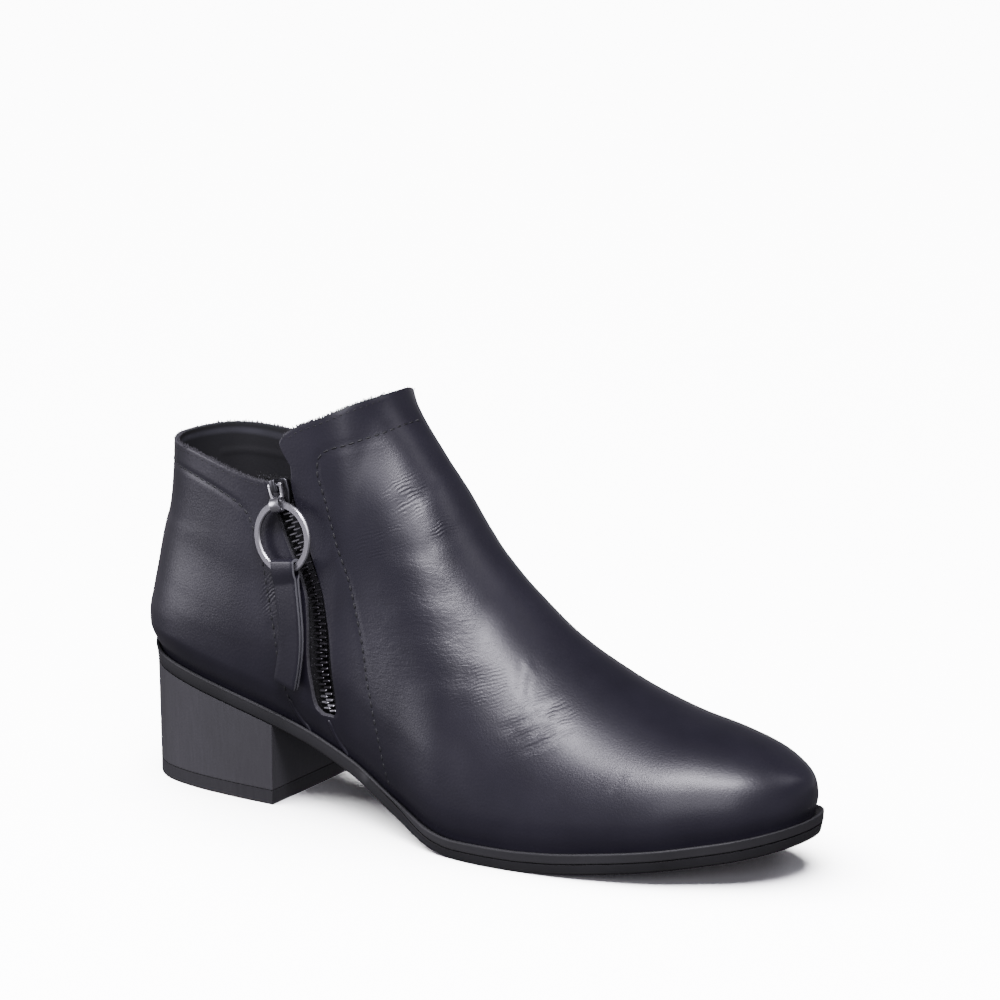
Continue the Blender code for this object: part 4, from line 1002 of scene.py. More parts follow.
# Broken edges of the leather, the metal and the strap
RIM_SOFT = 0.00035
SLIDER_SOFT = 0.00045
BAIL_SOFT = 0.0006
LINK_SOFT = 0.00028
PIN_SOFT = 0.0001
EYE_SOFT = 0.0002
RING_SOFT = RING_EDGE * 1.2
STRAP_SOFT = 0.00022
TOOTH_SOFT = 0.00022

# Fibres of the frayed tape ends. Columns: foot radius, tip radius, segments
TAPE_FIBRE = (0.00022, 0.00008, 6)
FRAY_COUNT = 30
FRAY_LENGTH = 0.0012
FRAY_VARIES = 0.0006
FRAY_STRETCH = 1.4

# Fibres of the raw collar edge: their number along each run, root depth, lean, length and its spread
COLLAR_FIBRE = (0.00022, 0.00010, 4)
FUZZ_RUNS = ((rear_rim, -1, 210), (flap_rim, -1, 170), (medial_rim, 1, 330))
FUZZ_ROOT = 0.0002
FUZZ_LEAN = 0.00030
FUZZ_LENGTH = 0.00050
FUZZ_VARIES = 0.00055

# Zip and strap
CORD_UNDER = 0.0012
FINE_PITCH = 0.0022
TOOTH_REACH = 0.0021
TOOTH_LENGTH = 0.0030
TOOTH_THICK = 0.0014
TOOTH_BREADTH = 0.00070
CHAIN_LIFT = 0.0009
LIFT_FROM = 0.08
EYE_STEPS = 40
RING_STEPS = 112
STRAP_ACROSS = 6
STRAP_NARROWS = 0.10

# Camera: the photo's angle to the boot
CAMERA_AZIMUTH = 30.679
CAMERA_ELEVATION = 16.596
CAMERA_ROLL = 1.1232
CAMERA_DISTANCE = 1.20148
CAMERA_AIM = (0.125 - ORIGIN_X, -ORIGIN_Y, 0.040)
AIM_RIGHT = -34.81
AIM_DOWN = 205.88
FOCAL_PIXELS = 3500.0
FRAME_PIXELS = 1000.0
SENSOR_MM = 36.0

# Floor and light. Columns of the lights: name, direction from the boot, distance, size, power
FLOOR_HALF = 12.0
FLOOR_BRIGHT = 42.0
FLOOR_LIGHT_SPREAD = math.radians(75.0)
FLOOR_LIGHT_FROM = (-0.25, -0.10, 1.0)
SKY_STOPS = ((0.00, 0.13), (0.40, 0.16), (0.50, 0.50), (0.58, 0.24), (0.75, 0.11), (1.00, 0.15))
SKY_STRENGTH = 1.0
STUDIO_TINT = (1.0, 0.965, 1.075)
LIGHT_AIM = (0.03, 0.0, 0.05)
LIGHTS = (
    ("key_softbox", (0.26, -0.49, 0.83), 1.3, (0.75, 0.22), 28.0),
    ("ankle_softbox", (0.66, 0.32, 0.68), 1.4, (0.5, 0.4), 1.5),
    ("left_softbox", (-0.80, -0.55, 0.20), 1.7, (0.9, 0.9), 17.0),
    ("front_softbox", (0.45, -0.82, 0.45), 1.8, (0.7, 0.7), 6.0),
)


# Shader tools

class Wire:
    """A shader socket. Sums and products of it add Math nodes, and node() adds any other node."""

    def __init__(self, tree, socket=None):
        self.tree = tree
        self.socket = socket

    def node(self, kind, settings=None, sockets=None, out=0):
        """Add a node: its settings first, then the values or links of its sockets."""
        made = self.tree.nodes.new("ShaderNode" + kind)
        for name, value in (settings or {}).items():
            if name == "stops":
                for place, level in value[2:]:
                    made.color_ramp.elements.new(place)
                for element, (place, level) in zip(made.color_ramp.elements, value):
                    element.position = place
                    element.color = (level, level, level, 1.0)
            else:
                setattr(made, name, value)
        for name, value in (sockets or {}).items():
            if isinstance(value, Wire):
                self.tree.links.new(value.socket, made.inputs[name])
            elif isinstance(value, tuple) and len(value) == 3 and made.inputs[name].type == "RGBA":
                made.inputs[name].default_value = (*value, 1.0)
            else:
                made.inputs[name].default_value = value
        return Wire(self.tree, made.outputs[out])

    def math(self, operation, first, second=0.0, third=0.0):
        """A Math node on up to three values."""
        return self.node("Math", {"operation": operation}, {0: first, 1: second, 2: third})

    def __add__(self, other):
        return self.math("ADD", self, other)

    def __radd__(self, other):
        return self.math("ADD", other, self)

    def __sub__(self, other):
        return self.math("SUBTRACT", self, other)

    def __rsub__(self, other):
        return self.math("SUBTRACT", other, self)

    def __mul__(self, other):
        return self.math("MULTIPLY", self, other)

    def __rmul__(self, other):
        return self.math("MULTIPLY", other, self)

    def __truediv__(self, other):
        return self.math("DIVIDE", self, other)

    def __pow__(self, other):
        return self.math("POWER", self, other)

    def steps(self, *stops):
        """Read the value through a ramp of (place, level) stops."""
        return self.node("ValToRGB", {"stops": stops}, {0: self})


def noise(wire, place, scale, detail=2.0, roughness=0.5, distortion=0.0):
    """Noise between 0 and 1 with scale cells in a metre."""
    return wire.node("TexNoise", {}, {"Vector": place, "Scale": scale, "Detail": detail,
                                      "Roughness": roughness, "Distortion": distortion})


def cells(wire, place, scale, feature="SMOOTH_F1"):
    """Distance to the nearest cell centre."""
    return wire.node("TexVoronoi", {"feature": feature}, {"Vector": place, "Scale": scale})


def scaled(wire, place, factors):
    """Place with each axis multiplied."""
    return wire.node("VectorMath", {"operation": "MULTIPLY"}, {0: place, 1: factors})


def dot(wire, place, direction):
    """Length of a place along a direction."""
    return wire.node("VectorMath", {"operation": "DOT_PRODUCT"}, {0: place, 1: tuple(direction)}, "Value")


def mixed(wire, share, low, high):
    """Mix of two colours."""
    return wire.node("Mix", {"data_type": "RGBA"}, {0: share, 6: low, 7: high}, 2)


def from_spot(wire, place, spot):
    """Place counted from a spot in shoe coordinates."""
    return wire.node("VectorMath", {"operation": "SUBTRACT"}, {0: place, 1: tuple(placed(*spot))})


def local_mask(wire, place, centre, radii):
    """1 at a centre in shoe coordinates, falling softly to 0 at the radii."""
    offset = from_spot(wire, place, centre)
    share = scaled(wire, offset, tuple(1 / radius for radius in radii))
    distance = wire.node("VectorMath", {"operation": "LENGTH"}, {0: share}, "Value")
    return (1.0 - distance).steps((0.0, 0.0), (0.55, 1.0))


def new_material(name):
    """An empty material: returns it with a wire, Object coordinates and its shader."""
    material = bpy.data.materials.new(name)
    material.use_nodes = True
    tree = material.node_tree
    wire = Wire(tree)
    place = wire.node("TexCoord", {}, {}, "Object")
    return material, wire, place, tree.nodes["Principled BSDF"]


def wear(wire, shader, **values):
    """Set or link the shader's sockets; underscores in a name stand for spaces."""
    for name, value in values.items():
        socket = shader.inputs[name.replace("_", " ")]
        if isinstance(value, Wire):
            wire.tree.links.new(value.socket, socket)
        elif isinstance(value, tuple):
            socket.default_value = (*value, 1.0)
        else:
            socket.default_value = value


def relief(wire, height, strength=1.0):
    """Bump from a height in millimetres."""
    return wire.node("Bump", {}, {"Strength": strength, "Distance": 0.001, "Height": height}, "Normal")


def bundle_lines(wire, place, row):
    """Fine parallel creases of one bundle, as a height."""
    centre, along, across, half_length, half_breadth, spacing, depth = row
    along = Vector(along).normalized()
    across = (Vector(across) - along * Vector(across).dot(along)).normalized()
    drift = noise(wire, place, 1 / (spacing * 6), 2.0)
    fine = noise(wire, place, 1 / (spacing * 1.2), 2.0)
    run = dot(wire, place, across) + drift * (spacing * 3.0) + fine * (spacing * 0.25)
    lines = wire.math("SINE", run * (2 * math.pi / spacing))
    breaks = noise(wire, place, 1 / (spacing * 3), 1.0).steps((0.35, 0.0), (0.62, 1.0))
    offset = from_spot(wire, place, centre)
    length = dot(wire, offset, along) / half_length
    breadth = dot(wire, offset, across) / half_breadth
    reach = wire.math("SQRT", length * length + breadth * breadth)
    mask = (1.0 - reach).steps((0.0, 0.0), (0.6, 1.0))
    return lines * mask * breaks * depth


def leather_material(name, bundles=(), wrinkled=True):
    """Black smooth leather with a navy cast: pores, fine wrinkles, crease bundles and rubbed places."""
    material, wire, place, shader = new_material(name)
    pores = cells(wire, place, 1550.0)
    grit = noise(wire, place, 3200.0, 2.0)
    soft = noise(wire, place, 90.0, 3.0)
    cloudy = noise(wire, place, 28.0, 3.0, 0.6)
    height = pores * 0.030 + grit * 0.014 + soft * 0.05
    if wrinkled:
        flat = scaled(wire, place, (0.33, 0.33, 1.0))
        waves = noise(wire, flat, 900.0, 3.0, 0.55, 0.6)
        flexed = local_mask(wire, place, FLEX_CENTRE, FLEX_RADII)
        inner = local_mask(wire, place, INNER_FLEX_CENTRE, FLEX_RADII)
        height = height + waves * (flexed + inner) * 0.110 + waves * 0.016
    for row in bundles:
        height = height + bundle_lines(wire, place, row)
    colour = mixed(wire, cloudy.steps((0.30, 0.0), (0.72, 1.0)), *LEATHER_SHADES)
    gloss = 0.31 + cloudy * 0.10 + grit * 0.06
    wear(wire, shader, Base_Color=colour, Roughness=gloss, Specular_IOR_Level=0.45, Coat_Weight=0.20,
         Coat_Roughness=0.29, Normal=relief(wire, height))
    return material


def cut_edge_material():
    """Raw cut edge of the leather: grey, fibrous and dry."""
    material, wire, place, shader = new_material("raw_leather_edge")
    fibre = noise(wire, place, 2600.0, 4.0, 0.7)
    clumps = noise(wire, place, 700.0, 3.0)
    colour = mixed(wire, fibre.steps((0.35, 0.0), (0.70, 1.0)), *RAW_EDGE_SHADES)
    wear(wire, shader, Base_Color=colour, Roughness=0.88, Normal=relief(wire, fibre * 0.16 + clumps * 0.18))
    return material


def lining_material(name, pale_line):
    """Black lining; a paler stretch follows the rim just below it."""
    material, wire, place, shader = new_material(name)
    nap = noise(wire, place, 2100.0, 3.0, 0.6)
    clouds = noise(wire, place, 60.0, 2.0)
    colour = mixed(wire, clouds, *LINING_SHADES)
    if pale_line:
        row = wire.node("Attribute", {"attribute_name": "row"}, {}, "Fac")
        band = row.steps((0.948, 0.0), (0.962, 1.0), (0.972, 1.0), (0.984, 0.0))
        colour = mixed(wire, band * clouds.steps((0.25, 0.3), (0.7, 1.0)), colour, LINING_LINE)
    wear(wire, shader, Base_Color=colour, Roughness=0.72, Normal=relief(wire, nap * 0.05))
    return material


def rubber_material(name, dark, light, streaks):
    """Matte moulded rubber; the heel has faint upright streaks."""
    material, wire, place, shader = new_material(name)
    speck = noise(wire, place, 1500.0, 3.0, 0.6)
    clouds = noise(wire, place, 40.0, 3.0)
    shade = clouds
    height = speck * 0.035
    if streaks:
        lean = scaled(wire, place, (1.0, 1.0, 0.05))
        lines = noise(wire, lean, 900.0, 3.0, 0.6)
        shade = clouds * 0.45 + lines * 0.55
        height = height + lines * 0.045
    colour = mixed(wire, shade.steps((0.30, 0.0), (0.70, 1.0)), dark, light)
    wear(wire, shader, Base_Color=colour, Roughness=0.50 + speck * 0.14, Specular_IOR_Level=0.42,
         Normal=relief(wire, height))
    return material


def tread_material():
    """Underside of the sole: matte rubber with fine moulded ribs."""
    material, wire, place, shader = new_material("tread_rubber")
    run = dot(wire, place, (1.0, 0.0, 0.0))
    ribs = wire.math("SINE", run * (2 * math.pi / TREAD_RIB)).steps((0.30, 0.0), (0.62, 1.0))
    speck = noise(wire, place, 1300.0, 3.0, 0.6)
    colour = mixed(wire, speck, *TREAD_SHADES)
    wear(wire, shader, Base_Color=colour, Roughness=0.62, Normal=relief(wire, ribs * 0.25 + speck * 0.03))
    return material


def metal_material(name, colour, roughness, speckle, metallic=1.0):
    """Plated metal with fine rubbing, or smooth edge paint when it isn't metallic."""
    material, wire, place, shader = new_material(name)
    fine_mottle = noise(wire, place, 2400.0, 3.0, 0.6)
    clouds = noise(wire, place, 300.0, 2.0)
    dark = tuple(level * (1 - speckle) for level in colour)
    shade = mixed(wire, fine_mottle * 0.5 + clouds * 0.5, dark, colour)
    wear(wire, shader, Base_Color=shade, Metallic=metallic, Roughness=roughness + fine_mottle * 0.10,
         Normal=relief(wire, fine_mottle * 0.008))
    return material


def teeth_material():
    """Zip teeth: black plated, with painted sheen that brightens them low down and inside the ring."""
    material, wire, place, shader = new_material("zip_teeth_metal")
    low = local_mask(wire, place, *PAINTED_SHEEN_LOW)
    ring = local_mask(wire, place, *PAINTED_SHEEN_IN_RING)
    fine_mottle = noise(wire, place, 1600.0, 2.0)
    # Painted sheen: brighter colour at the foot of the slit and inside the ring, standing in for highlights
    share = (low * 1.2 + ring * 0.45) * fine_mottle.steps((0.2, 0.5), (0.6, 1.0))
    colour = mixed(wire, share, *TEETH_PLATING_AND_PAINTED_SHEEN)
    wear(wire, shader, Base_Color=colour, Metallic=0.9, Roughness=0.34, Normal=relief(wire, fine_mottle * 0.01))
    return material


def tape_material():
    """Woven zip tape with pale specks where the sewn cord shows."""
    material, wire, place, shader = new_material("zip_tape_weave")
    up = dot(wire, place, (0.0, 0.0, 1.0))
    run = dot(wire, place, (1.0, 0.0, 0.0))
    weave = wire.math("SINE", (up + run * 0.6) * (2 * math.pi / WEAVE_PITCH))
    cross = wire.math("SINE", (up * 0.6 - run) * (2 * math.pi / WEAVE_PITCH))
    specks = cells(wire, place, 900.0, "F1").steps((0.10, 1.0), (0.22, 0.0))
    colour = mixed(wire, specks, *TAPE_SHADES)
    wear(wire, shader, Base_Color=colour, Roughness=0.85, Normal=relief(wire, weave * cross * 0.07))
    return material


def thread_material():
    """Waxed black sewing thread with its twist."""
    material, wire, place, shader = new_material("sewing_thread")
    twist = noise(wire, place, 3500.0, 2.0)
    colour = mixed(wire, twist, *THREAD_SHADES)
    wear(wire, shader, Base_Color=colour, Roughness=0.60, Normal=relief(wire, twist * 0.04))
    return material


def floor_material():
    """Plain pale floor."""
    material, wire, _, shader = new_material("pale_floor")
    wear(wire, shader, Base_Color=FLOOR_COLOUR, Roughness=0.9, Specular_IOR_Level=0.2)
    return material


# Making pieces

def add_thing(name, data):
    """A new object in the scene."""
    thing = bpy.data.objects.new(name, data)
    bpy.context.scene.collection.objects.link(thing)
    return thing


def add_piece(name, bm, materials, body, stands_for=(), smooth=40.0):
    """Close the mesh, face it outwards, give it its materials and let it ride on its body."""
    bmesh.ops.remove_doubles(bm, verts=bm.verts, dist=WELD)
    bmesh.ops.dissolve_degenerate(bm, edges=bm.edges, dist=WELD)
    bmesh.ops.recalc_face_normals(bm, faces=bm.faces)
    mesh = bpy.data.meshes.new(name)
    bm.to_mesh(mesh)
    bm.free()
    mesh.shade_smooth()
    mesh.set_sharp_from_angle(angle=math.radians(smooth))
    for material in materials:
        mesh.materials.append(material)
    thing = add_thing(name, mesh)
    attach(thing, body)
    if stands_for:
        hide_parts(*stands_for)
    return thing


def soften(bm, width, segments=2, angle=30.0):
    """Round every edge sharper than an angle."""
    limit = math.radians(angle)
    edges = [edge for edge in bm.edges if edge.is_manifold and edge.calc_face_angle(0.0) > limit]
    bmesh.ops.bevel(bm, geom=edges, offset=width, segments=segments, profile=0.5, affect="EDGES",
                    material=-1, clamp_overlap=True)


def patch_sheet(us, rows, lower, upper, left, right, ease):
    """Side-view places inside four boundary curves, for every row and column."""
    low = np.array([lower(u) for u in us])
    high = np.array([upper(u) for u in us])
    first = np.array([left(row) for row in rows])
    last = np.array([right(row) for row in rows])
    share = rows[:, None]
    left_off = first - ((1 - share) * low[0] + share * high[0])
    right_off = last - ((1 - share) * low[-1] + share * high[-1])
    across = (1 - share[..., None]) * low + share[..., None] * high
    blend_in = ease[None, :, None]
    return across + (1 - blend_in) * left_off[:, None] + blend_in * right_off[:, None]


def lay_panel(bm, row_layer, rows, flat, side, seams=()):
    """A grid of faces on one side of the upper, its corners at the given side-view places."""
    station, height = flat[..., 0], flat[..., 1]
    y = side_y(station, height, side)
    for column_index in seams:
        x, z = station[:, column_index], height[:, column_index]
        y[:, column_index] = (side_y(x, z, -1) + side_y(x, z, 1)) / 2
    places = np.stack([station - ORIGIN_X, y - ORIGIN_Y, height], -1)
    high, wide = places.shape[0] - 1, places.shape[1] - 1
    for vert in bmesh.ops.create_grid(bm, x_segments=wide, y_segments=high, size=0.5)["verts"]:
        i = round((vert.co.x + 0.5) * wide)
        j = round((vert.co.y + 0.5) * high)
        vert.co = places[j, i]
        vert[row_layer] = rows[j]


def line_on_upper(points, side, count):
    """Even places in shoe coordinates along a side-view line on the upper."""
    points = np.array(points)
    keys = np.concatenate([[0.0], np.cumsum(np.linalg.norm(np.diff(points, axis=0), axis=1))])
    reach = np.linspace(0, keys[-1], 16 * count)
    station = smooth_read(keys, points[:, 0], reach)
    height = smooth_read(keys, points[:, 1], reach)
    places = np.stack([station, side_y(station, height, side), height], -1)
    run = np.concatenate([[0.0], np.cumsum(np.linalg.norm(np.diff(places, axis=0), axis=1))])
    even = np.linspace(0, run[-1], count + 1)
    return np.stack([np.interp(even, run, places[:, i]) for i in range(3)], -1), run[-1]


def near_line(places, line, reach):
    """Places close to a line: their indices, distances to it and shares of the way along it."""
    near = np.nonzero(((places > line.min(0) - reach) & (places < line.max(0) + reach)).all(1))[0]
    spots = places[near]
    best = np.full(len(near), np.inf)
    along = np.zeros(len(near))
    steps = len(line) - 1
    for index in range(steps):
        edge = line[index + 1] - line[index]
        t = np.clip(((spots - line[index]) @ edge) / float(edge @ edge), 0, 1)
        distance = np.linalg.norm(spots - (line[index] + t[:, None] * edge), axis=1)
        closer = distance < best
        best = np.where(closer, distance, best)
        along = np.where(closer, (index + t) / steps, along)
    return near, best, along


def add_fold(field, places, line, half_width, depth):
    """Sink a soft trough with shoulders along a line, or raise a ridge if depth is negative."""
    near, distance, along = near_line(places, line, 4 * half_width)
    ratio = distance / half_width
    shoulder = SHOULDER_RISE * np.exp(-((ratio - SHOULDER_AT) / SHOULDER_WIDE) ** 2)
    ends = np.clip(np.sin(math.pi * along) * FOLD_ENDS, 0, 1)
    field[near] -= depth * (np.exp(-ratio ** 2) - shoulder) * ends


def add_channel(field, places, line):
    """Sink the shallow channel along a sewn row, even from end to end."""
    near, distance, _ = near_line(places, line, 3 * CHANNEL_HALF)
    field[near] -= CHANNEL_DEPTH * np.exp(-(distance / CHANNEL_HALF) ** 2)


def swell_field(places):
    """Slow hollows and swellings of the worn leather."""
    result = np.zeros(len(places))
    for station, y, height, radius, rise in SWELLS:
        distance = np.linalg.norm(places - np.array((station, y, height)), axis=1)
        result += rise * np.exp(-(distance / radius) ** 2)
    return result


def make_leather_shell():
    """The upper: fine panels welded into one shell, folded by the listed creases, then given its wall."""
    rows = np.interp(np.arange((len(UPPER_ROWS) - 1) * ROW_SPLIT + 1) / ROW_SPLIT,
                     range(len(UPPER_ROWS)), UPPER_ROWS)
    slit_rows = rows[:SLIT_ROW * ROW_SPLIT + 1]
    bm = bmesh.new()
    row_layer = bm.verts.layers.float.new("row")
    us = np.linspace(0, 1, FINE_REAR + 1)
    flat = patch_sheet(us, rows, lambda s: seat_edge(REAR_FOOT_ANGLE * s),
                       lambda s: rear_rim(1 - math.cos(math.pi * s / 2)), back_edge,
                       lambda r: slit_edge(r, -1), 1 - np.cos(math.pi * us / 2))
    lay_panel(bm, row_layer, rows, flat, -1, (0,))
    us = np.linspace(0, 1, FINE_FRONT + 1)
    flat = patch_sheet(us, rows, lambda s: seat_edge(FRONT_FOOT_ANGLE + (1 - FRONT_FOOT_ANGLE) * s),
                       lambda s: flap_rim(math.sin(math.pi * s / 2)), lambda r: slit_edge(r, 1),
                       front_edge, np.sin(math.pi * us / 2))
    lay_panel(bm, row_layer, rows, flat, -1, (-1,))
    us = np.linspace(0, 1, FINE_MEDIAL + 1)
    flat = patch_sheet(us, rows, seat_edge, lambda s: medial_rim(float(unturn(s))), back_edge, front_edge,
                       unturn(us))
    lay_panel(bm, row_layer, rows, flat, 1, (0, -1))
    us = np.linspace(0, 1, FINE_SLIT + 1)
    flat = np.array([[(1 - u) * slit_edge(row, -1) + u * slit_edge(row, 1) for u in us]
                     for row in slit_rows])
    lay_panel(bm, row_layer, slit_rows, flat, -1)
    bmesh.ops.remove_doubles(bm, verts=bm.verts, dist=WELD)
    bmesh.ops.recalc_face_normals(bm, faces=bm.faces)
    bm.normal_update()
    places = np.array([vert.co for vert in bm.verts]) + (ORIGIN_X, ORIGIN_Y, 0.0)
    normals = np.array([vert.normal for vert in bm.verts])
    if (normals[:, 1] * places[:, 1]).sum() < 0:
        bmesh.ops.reverse_faces(bm, faces=bm.faces)
        normals = -normals
    field = swell_field(places)
    for side, x0, z0, x1, z1, bow, half_width, depth in FOLDS:
        middle = ((x0 + x1) / 2 + bow * (z1 - z0), (z0 + z1) / 2 - bow * (x1 - x0))
        line, _ = line_on_upper(((x0, z0), middle, (x1, z1)), side, FOLD_POINTS)
        add_fold(field, places, line, half_width, depth)
    for points, side in CHANNELS:
        line, _ = line_on_upper(points, side, ROW_POINTS)
        add_channel(field, places, line)
    held = np.array([vert[row_layer] for vert in bm.verts])
    field *= np.clip(held / SEAT_HOLDS, 0, 1)
    for vert, x, y, z in zip(bm.verts, *(places + normals * field[:, None]).T):
        vert.co = (x - ORIGIN_X, y - ORIGIN_Y, z)
    shell = add_piece("leather_shell", bm, (LEATHER, LINING, RAW_EDGE), "boot", ("upper",), 60.0)
    wall = shell.modifiers.new("wall", "SOLIDIFY")
    wall.thickness = WALL
    wall.offset = -1.0
    wall.use_even_offset = True
    wall.use_rim = True
    wall.material_offset = 1
    wall.material_offset_rim = 2
    soft = shell.modifiers.new("soft_rims", "BEVEL")
    soft.width = RIM_SOFT
    soft.segments = 2
    soft.limit_method = "ANGLE"
    soft.angle_limit = math.radians(60.0)
    soft.use_clamp_overlap = True
    return shell


def make_stitches():
    """Sewn rows: the two placket rows, the row round the collar and the fine row along the edge."""
    bm = bmesh.new()
    for points, side, pitch, length, breadth, sink in STITCH_ROWS:
        _, run = line_on_upper(points, side, ROW_POINTS)
        count = max(2, round(run / pitch))
        spots, _ = line_on_upper(points, side, 2 * count)
        for index in range(1, 2 * count, 2):
            station, _, height = spots[index]
            along = Vector(spots[index + 1] - spots[index - 1]).normalized()
            face, normal = face_and_normal(station, height, side)
            across = normal.cross(along).normalized()
            turned = Matrix((along, across, normal)).transposed().to_4x4()
            size = Matrix.Diagonal((length, breadth, breadth, 1.0))
            matrix = Matrix.Translation(placed(*(face - normal * sink))) @ turned @ size
            bmesh.ops.create_uvsphere(bm, u_segments=8, v_segments=6, radius=0.5, matrix=matrix)
    return add_piece("stitch_rows", bm, (THREAD,), "boot", smooth=80.0)


def make_seam_laps():
    """Lapped leather edges of the two short seams that run down to the sole."""
    for name, points in (("seam_lap_rear", REAR_SEAM), ("seam_lap_front", FOOT_SEAM)):
        line, _ = line_on_upper(points, -1, LAP_STEPS)

        def level(rise):
            def place(u, v):
                index = round(u * LAP_STEPS)
                ahead = line[min(index + 1, LAP_STEPS)] - line[max(index - 1, 0)]
                face, normal = face_and_normal(float(line[index][0]), float(line[index][2]), -1)
                across = normal.cross(Vector(ahead).normalized())
                crown = math.sin(math.pi * v) if rise > 0 else 1.0
                taper = min(1.0, 6 * min(u, 1 - u) + 0.25)
                return face + across * (v - 0.5) * LAP_WIDTH * taper + normal * rise * crown
            return place

        bm = bmesh.new()
        loft_grid(bm, LAP_STEPS, 6, [level(-LAP_SINK), level(LAP_RISE)])
        add_piece(name, bm, (LEATHER,), "boot", smooth=80.0)


def make_sole():
    """Unit sole: rounded tread edge, side groove, upper band with a fine line, and the raised lip."""
    corner = GROOVE_HEIGHT / 5
    band = SIDE_SLOPE * BAND_SLOPE

    def groove_floor(share):
        return band + FINE_GROOVE * float(blend(*GROOVE_STARTS, share))

    def groove_low(share, x):
        return underside(x) + edge_thickness(x) * groove_share(share) - GROOVE_HEIGHT / 2

    def top(x):
        return seat(x) + RIM_HEIGHT

    levels = [
        sole_level(lambda s: SIDE_SLOPE + TREAD_ROUND, lambda s, x: underside(x)),
        sole_level(lambda s: SIDE_SLOPE + TREAD_ROUND * 0.3, lambda s, x: underside(x) + TREAD_ROUND * 0.3),
        sole_level(lambda s: SIDE_SLOPE, lambda s, x: underside(x) + TREAD_ROUND),
        sole_level(lambda s: band, groove_low),
        sole_level(groove_floor, lambda s, x: groove_low(s, x) + corner),
        sole_level(groove_floor, lambda s, x: groove_low(s, x) + GROOVE_HEIGHT - corner),
        sole_level(lambda s: band * 0.5, lambda s, x: groove_low(s, x) + GROOVE_HEIGHT),
        sole_level(lambda s: HAIR, lambda s, x: top(x) - LIP_ROUND),
    ]
    for step in range(1, LIP_STEPS + 1):
        angle = math.pi * step / LIP_STEPS
        levels.append(sole_level(
            lambda s, a=angle: LIP_ROUND * (1 - math.cos(a)),
            lambda s, x, a=angle: top(x) - LIP_ROUND * (1 - LIP_FULL * math.sin(a))))
    levels += [
        sole_level(lambda s: max(ledge(s) - RIM_GAP, LIP_INNER * LIP_ROUND), lambda s, x: seat(x) + HAIR),
        sole_level(lambda s: ledge(s) + WALL, lambda s, x: seat(x) + HAIR),
    ]
    bm = bmesh.new()
    loft_grid(bm, SOLE_STATIONS, SOLE_ACROSS, levels)
    for face in bm.faces:
        if all(abs(v.co.z - float(underside(v.co.x + ORIGIN_X))) < 2 * WELD for v in face.verts):
            face.material_index = 1
    return add_piece("unit_sole", bm, (SOLE_RUBBER, TREAD), "boot", ("outsole",), 50.0)


def make_heel_pieces():
    """Heel block with its fine line under the sole, and the top lift under it."""
    lift_share = 1 - LIFT_THICKNESS / HEEL_RISE
    block = bmesh.new()
    levels = []
    for step in range(HEEL_ROWS + 1):
        t = step / HEEL_ROWS
        levels.append(heel_level(lift_share * (1 - t),
                                 lambda x, t=t: LIFT_THICKNESS + GAP
                                 + (underside(x) - GAP - LIFT_THICKNESS - GAP) * t))
    loft_grid(block, HEEL_STATIONS, HEEL_ACROSS, levels)
    soften(block, HEEL_SOFT, 2, 50.0)
    add_piece("stacked_heel", block, (HEEL_RUBBER,), "boot", ("heel_block",), 35.0)
    lift = bmesh.new()
    loft_grid(lift, HEEL_STATIONS, HEEL_ACROSS, [
        heel_level(1.0, lambda x: 0.0),
        heel_level((1.0 + lift_share) / 2, lambda x: LIFT_THICKNESS / 2),
        heel_level(lift_share, lambda x: LIFT_THICKNESS),
    ])
    soften(lift, HEEL_SOFT, 2, 50.0)
    add_piece("top_lift", lift, (LIFT_RUBBER,), "boot", ("heel_lift",), 35.0)


def make_sock():
    """Padded sock on the insole board, slightly crowned and turned down at its edge."""
    def inset(share):
        return ledge(share) + WALL + INSOLE_GAP

    def crown(level):
        def place(u, v):
            x, y, z = level(u, v)
            edge = min(1.0, 5 * min(v, 1 - v)) * min(1.0, 8 * min(u, 1 - u))
            return x, y, z - SOCK_EDGE_DROP * (1 - edge)
        return place

    bm = bmesh.new()
    loft_grid(bm, SOLE_STATIONS // 2, 12, [
        sole_level(inset, lambda s, x: seat(x) + GAP),
        crown(sole_level(inset, lambda s, x: seat(x) + GAP + INSOLE_THICKNESS)),
    ])
    soften(bm, SOCK_SOFT, 2, 50.0)
    return add_piece("insole_sock", bm, (SOCK,), "boot", ("insole",), 50.0)


def add_fibre(bm, root, tip, size, stretch=1.0):
    """A thin tapered fibre from its root to its tip; stretch lengthens it both ways."""
    foot_radius, tip_radius, segments = size
    along = tip - root
    turned = along.to_track_quat("Z", "Y").to_matrix().to_4x4()
    matrix = Matrix.Translation(placed(*((root + tip) / 2))) @ turned
    bmesh.ops.create_cone(bm, cap_ends=True, segments=segments, radius1=foot_radius, radius2=tip_radius,
                          depth=along.length * stretch, matrix=matrix)


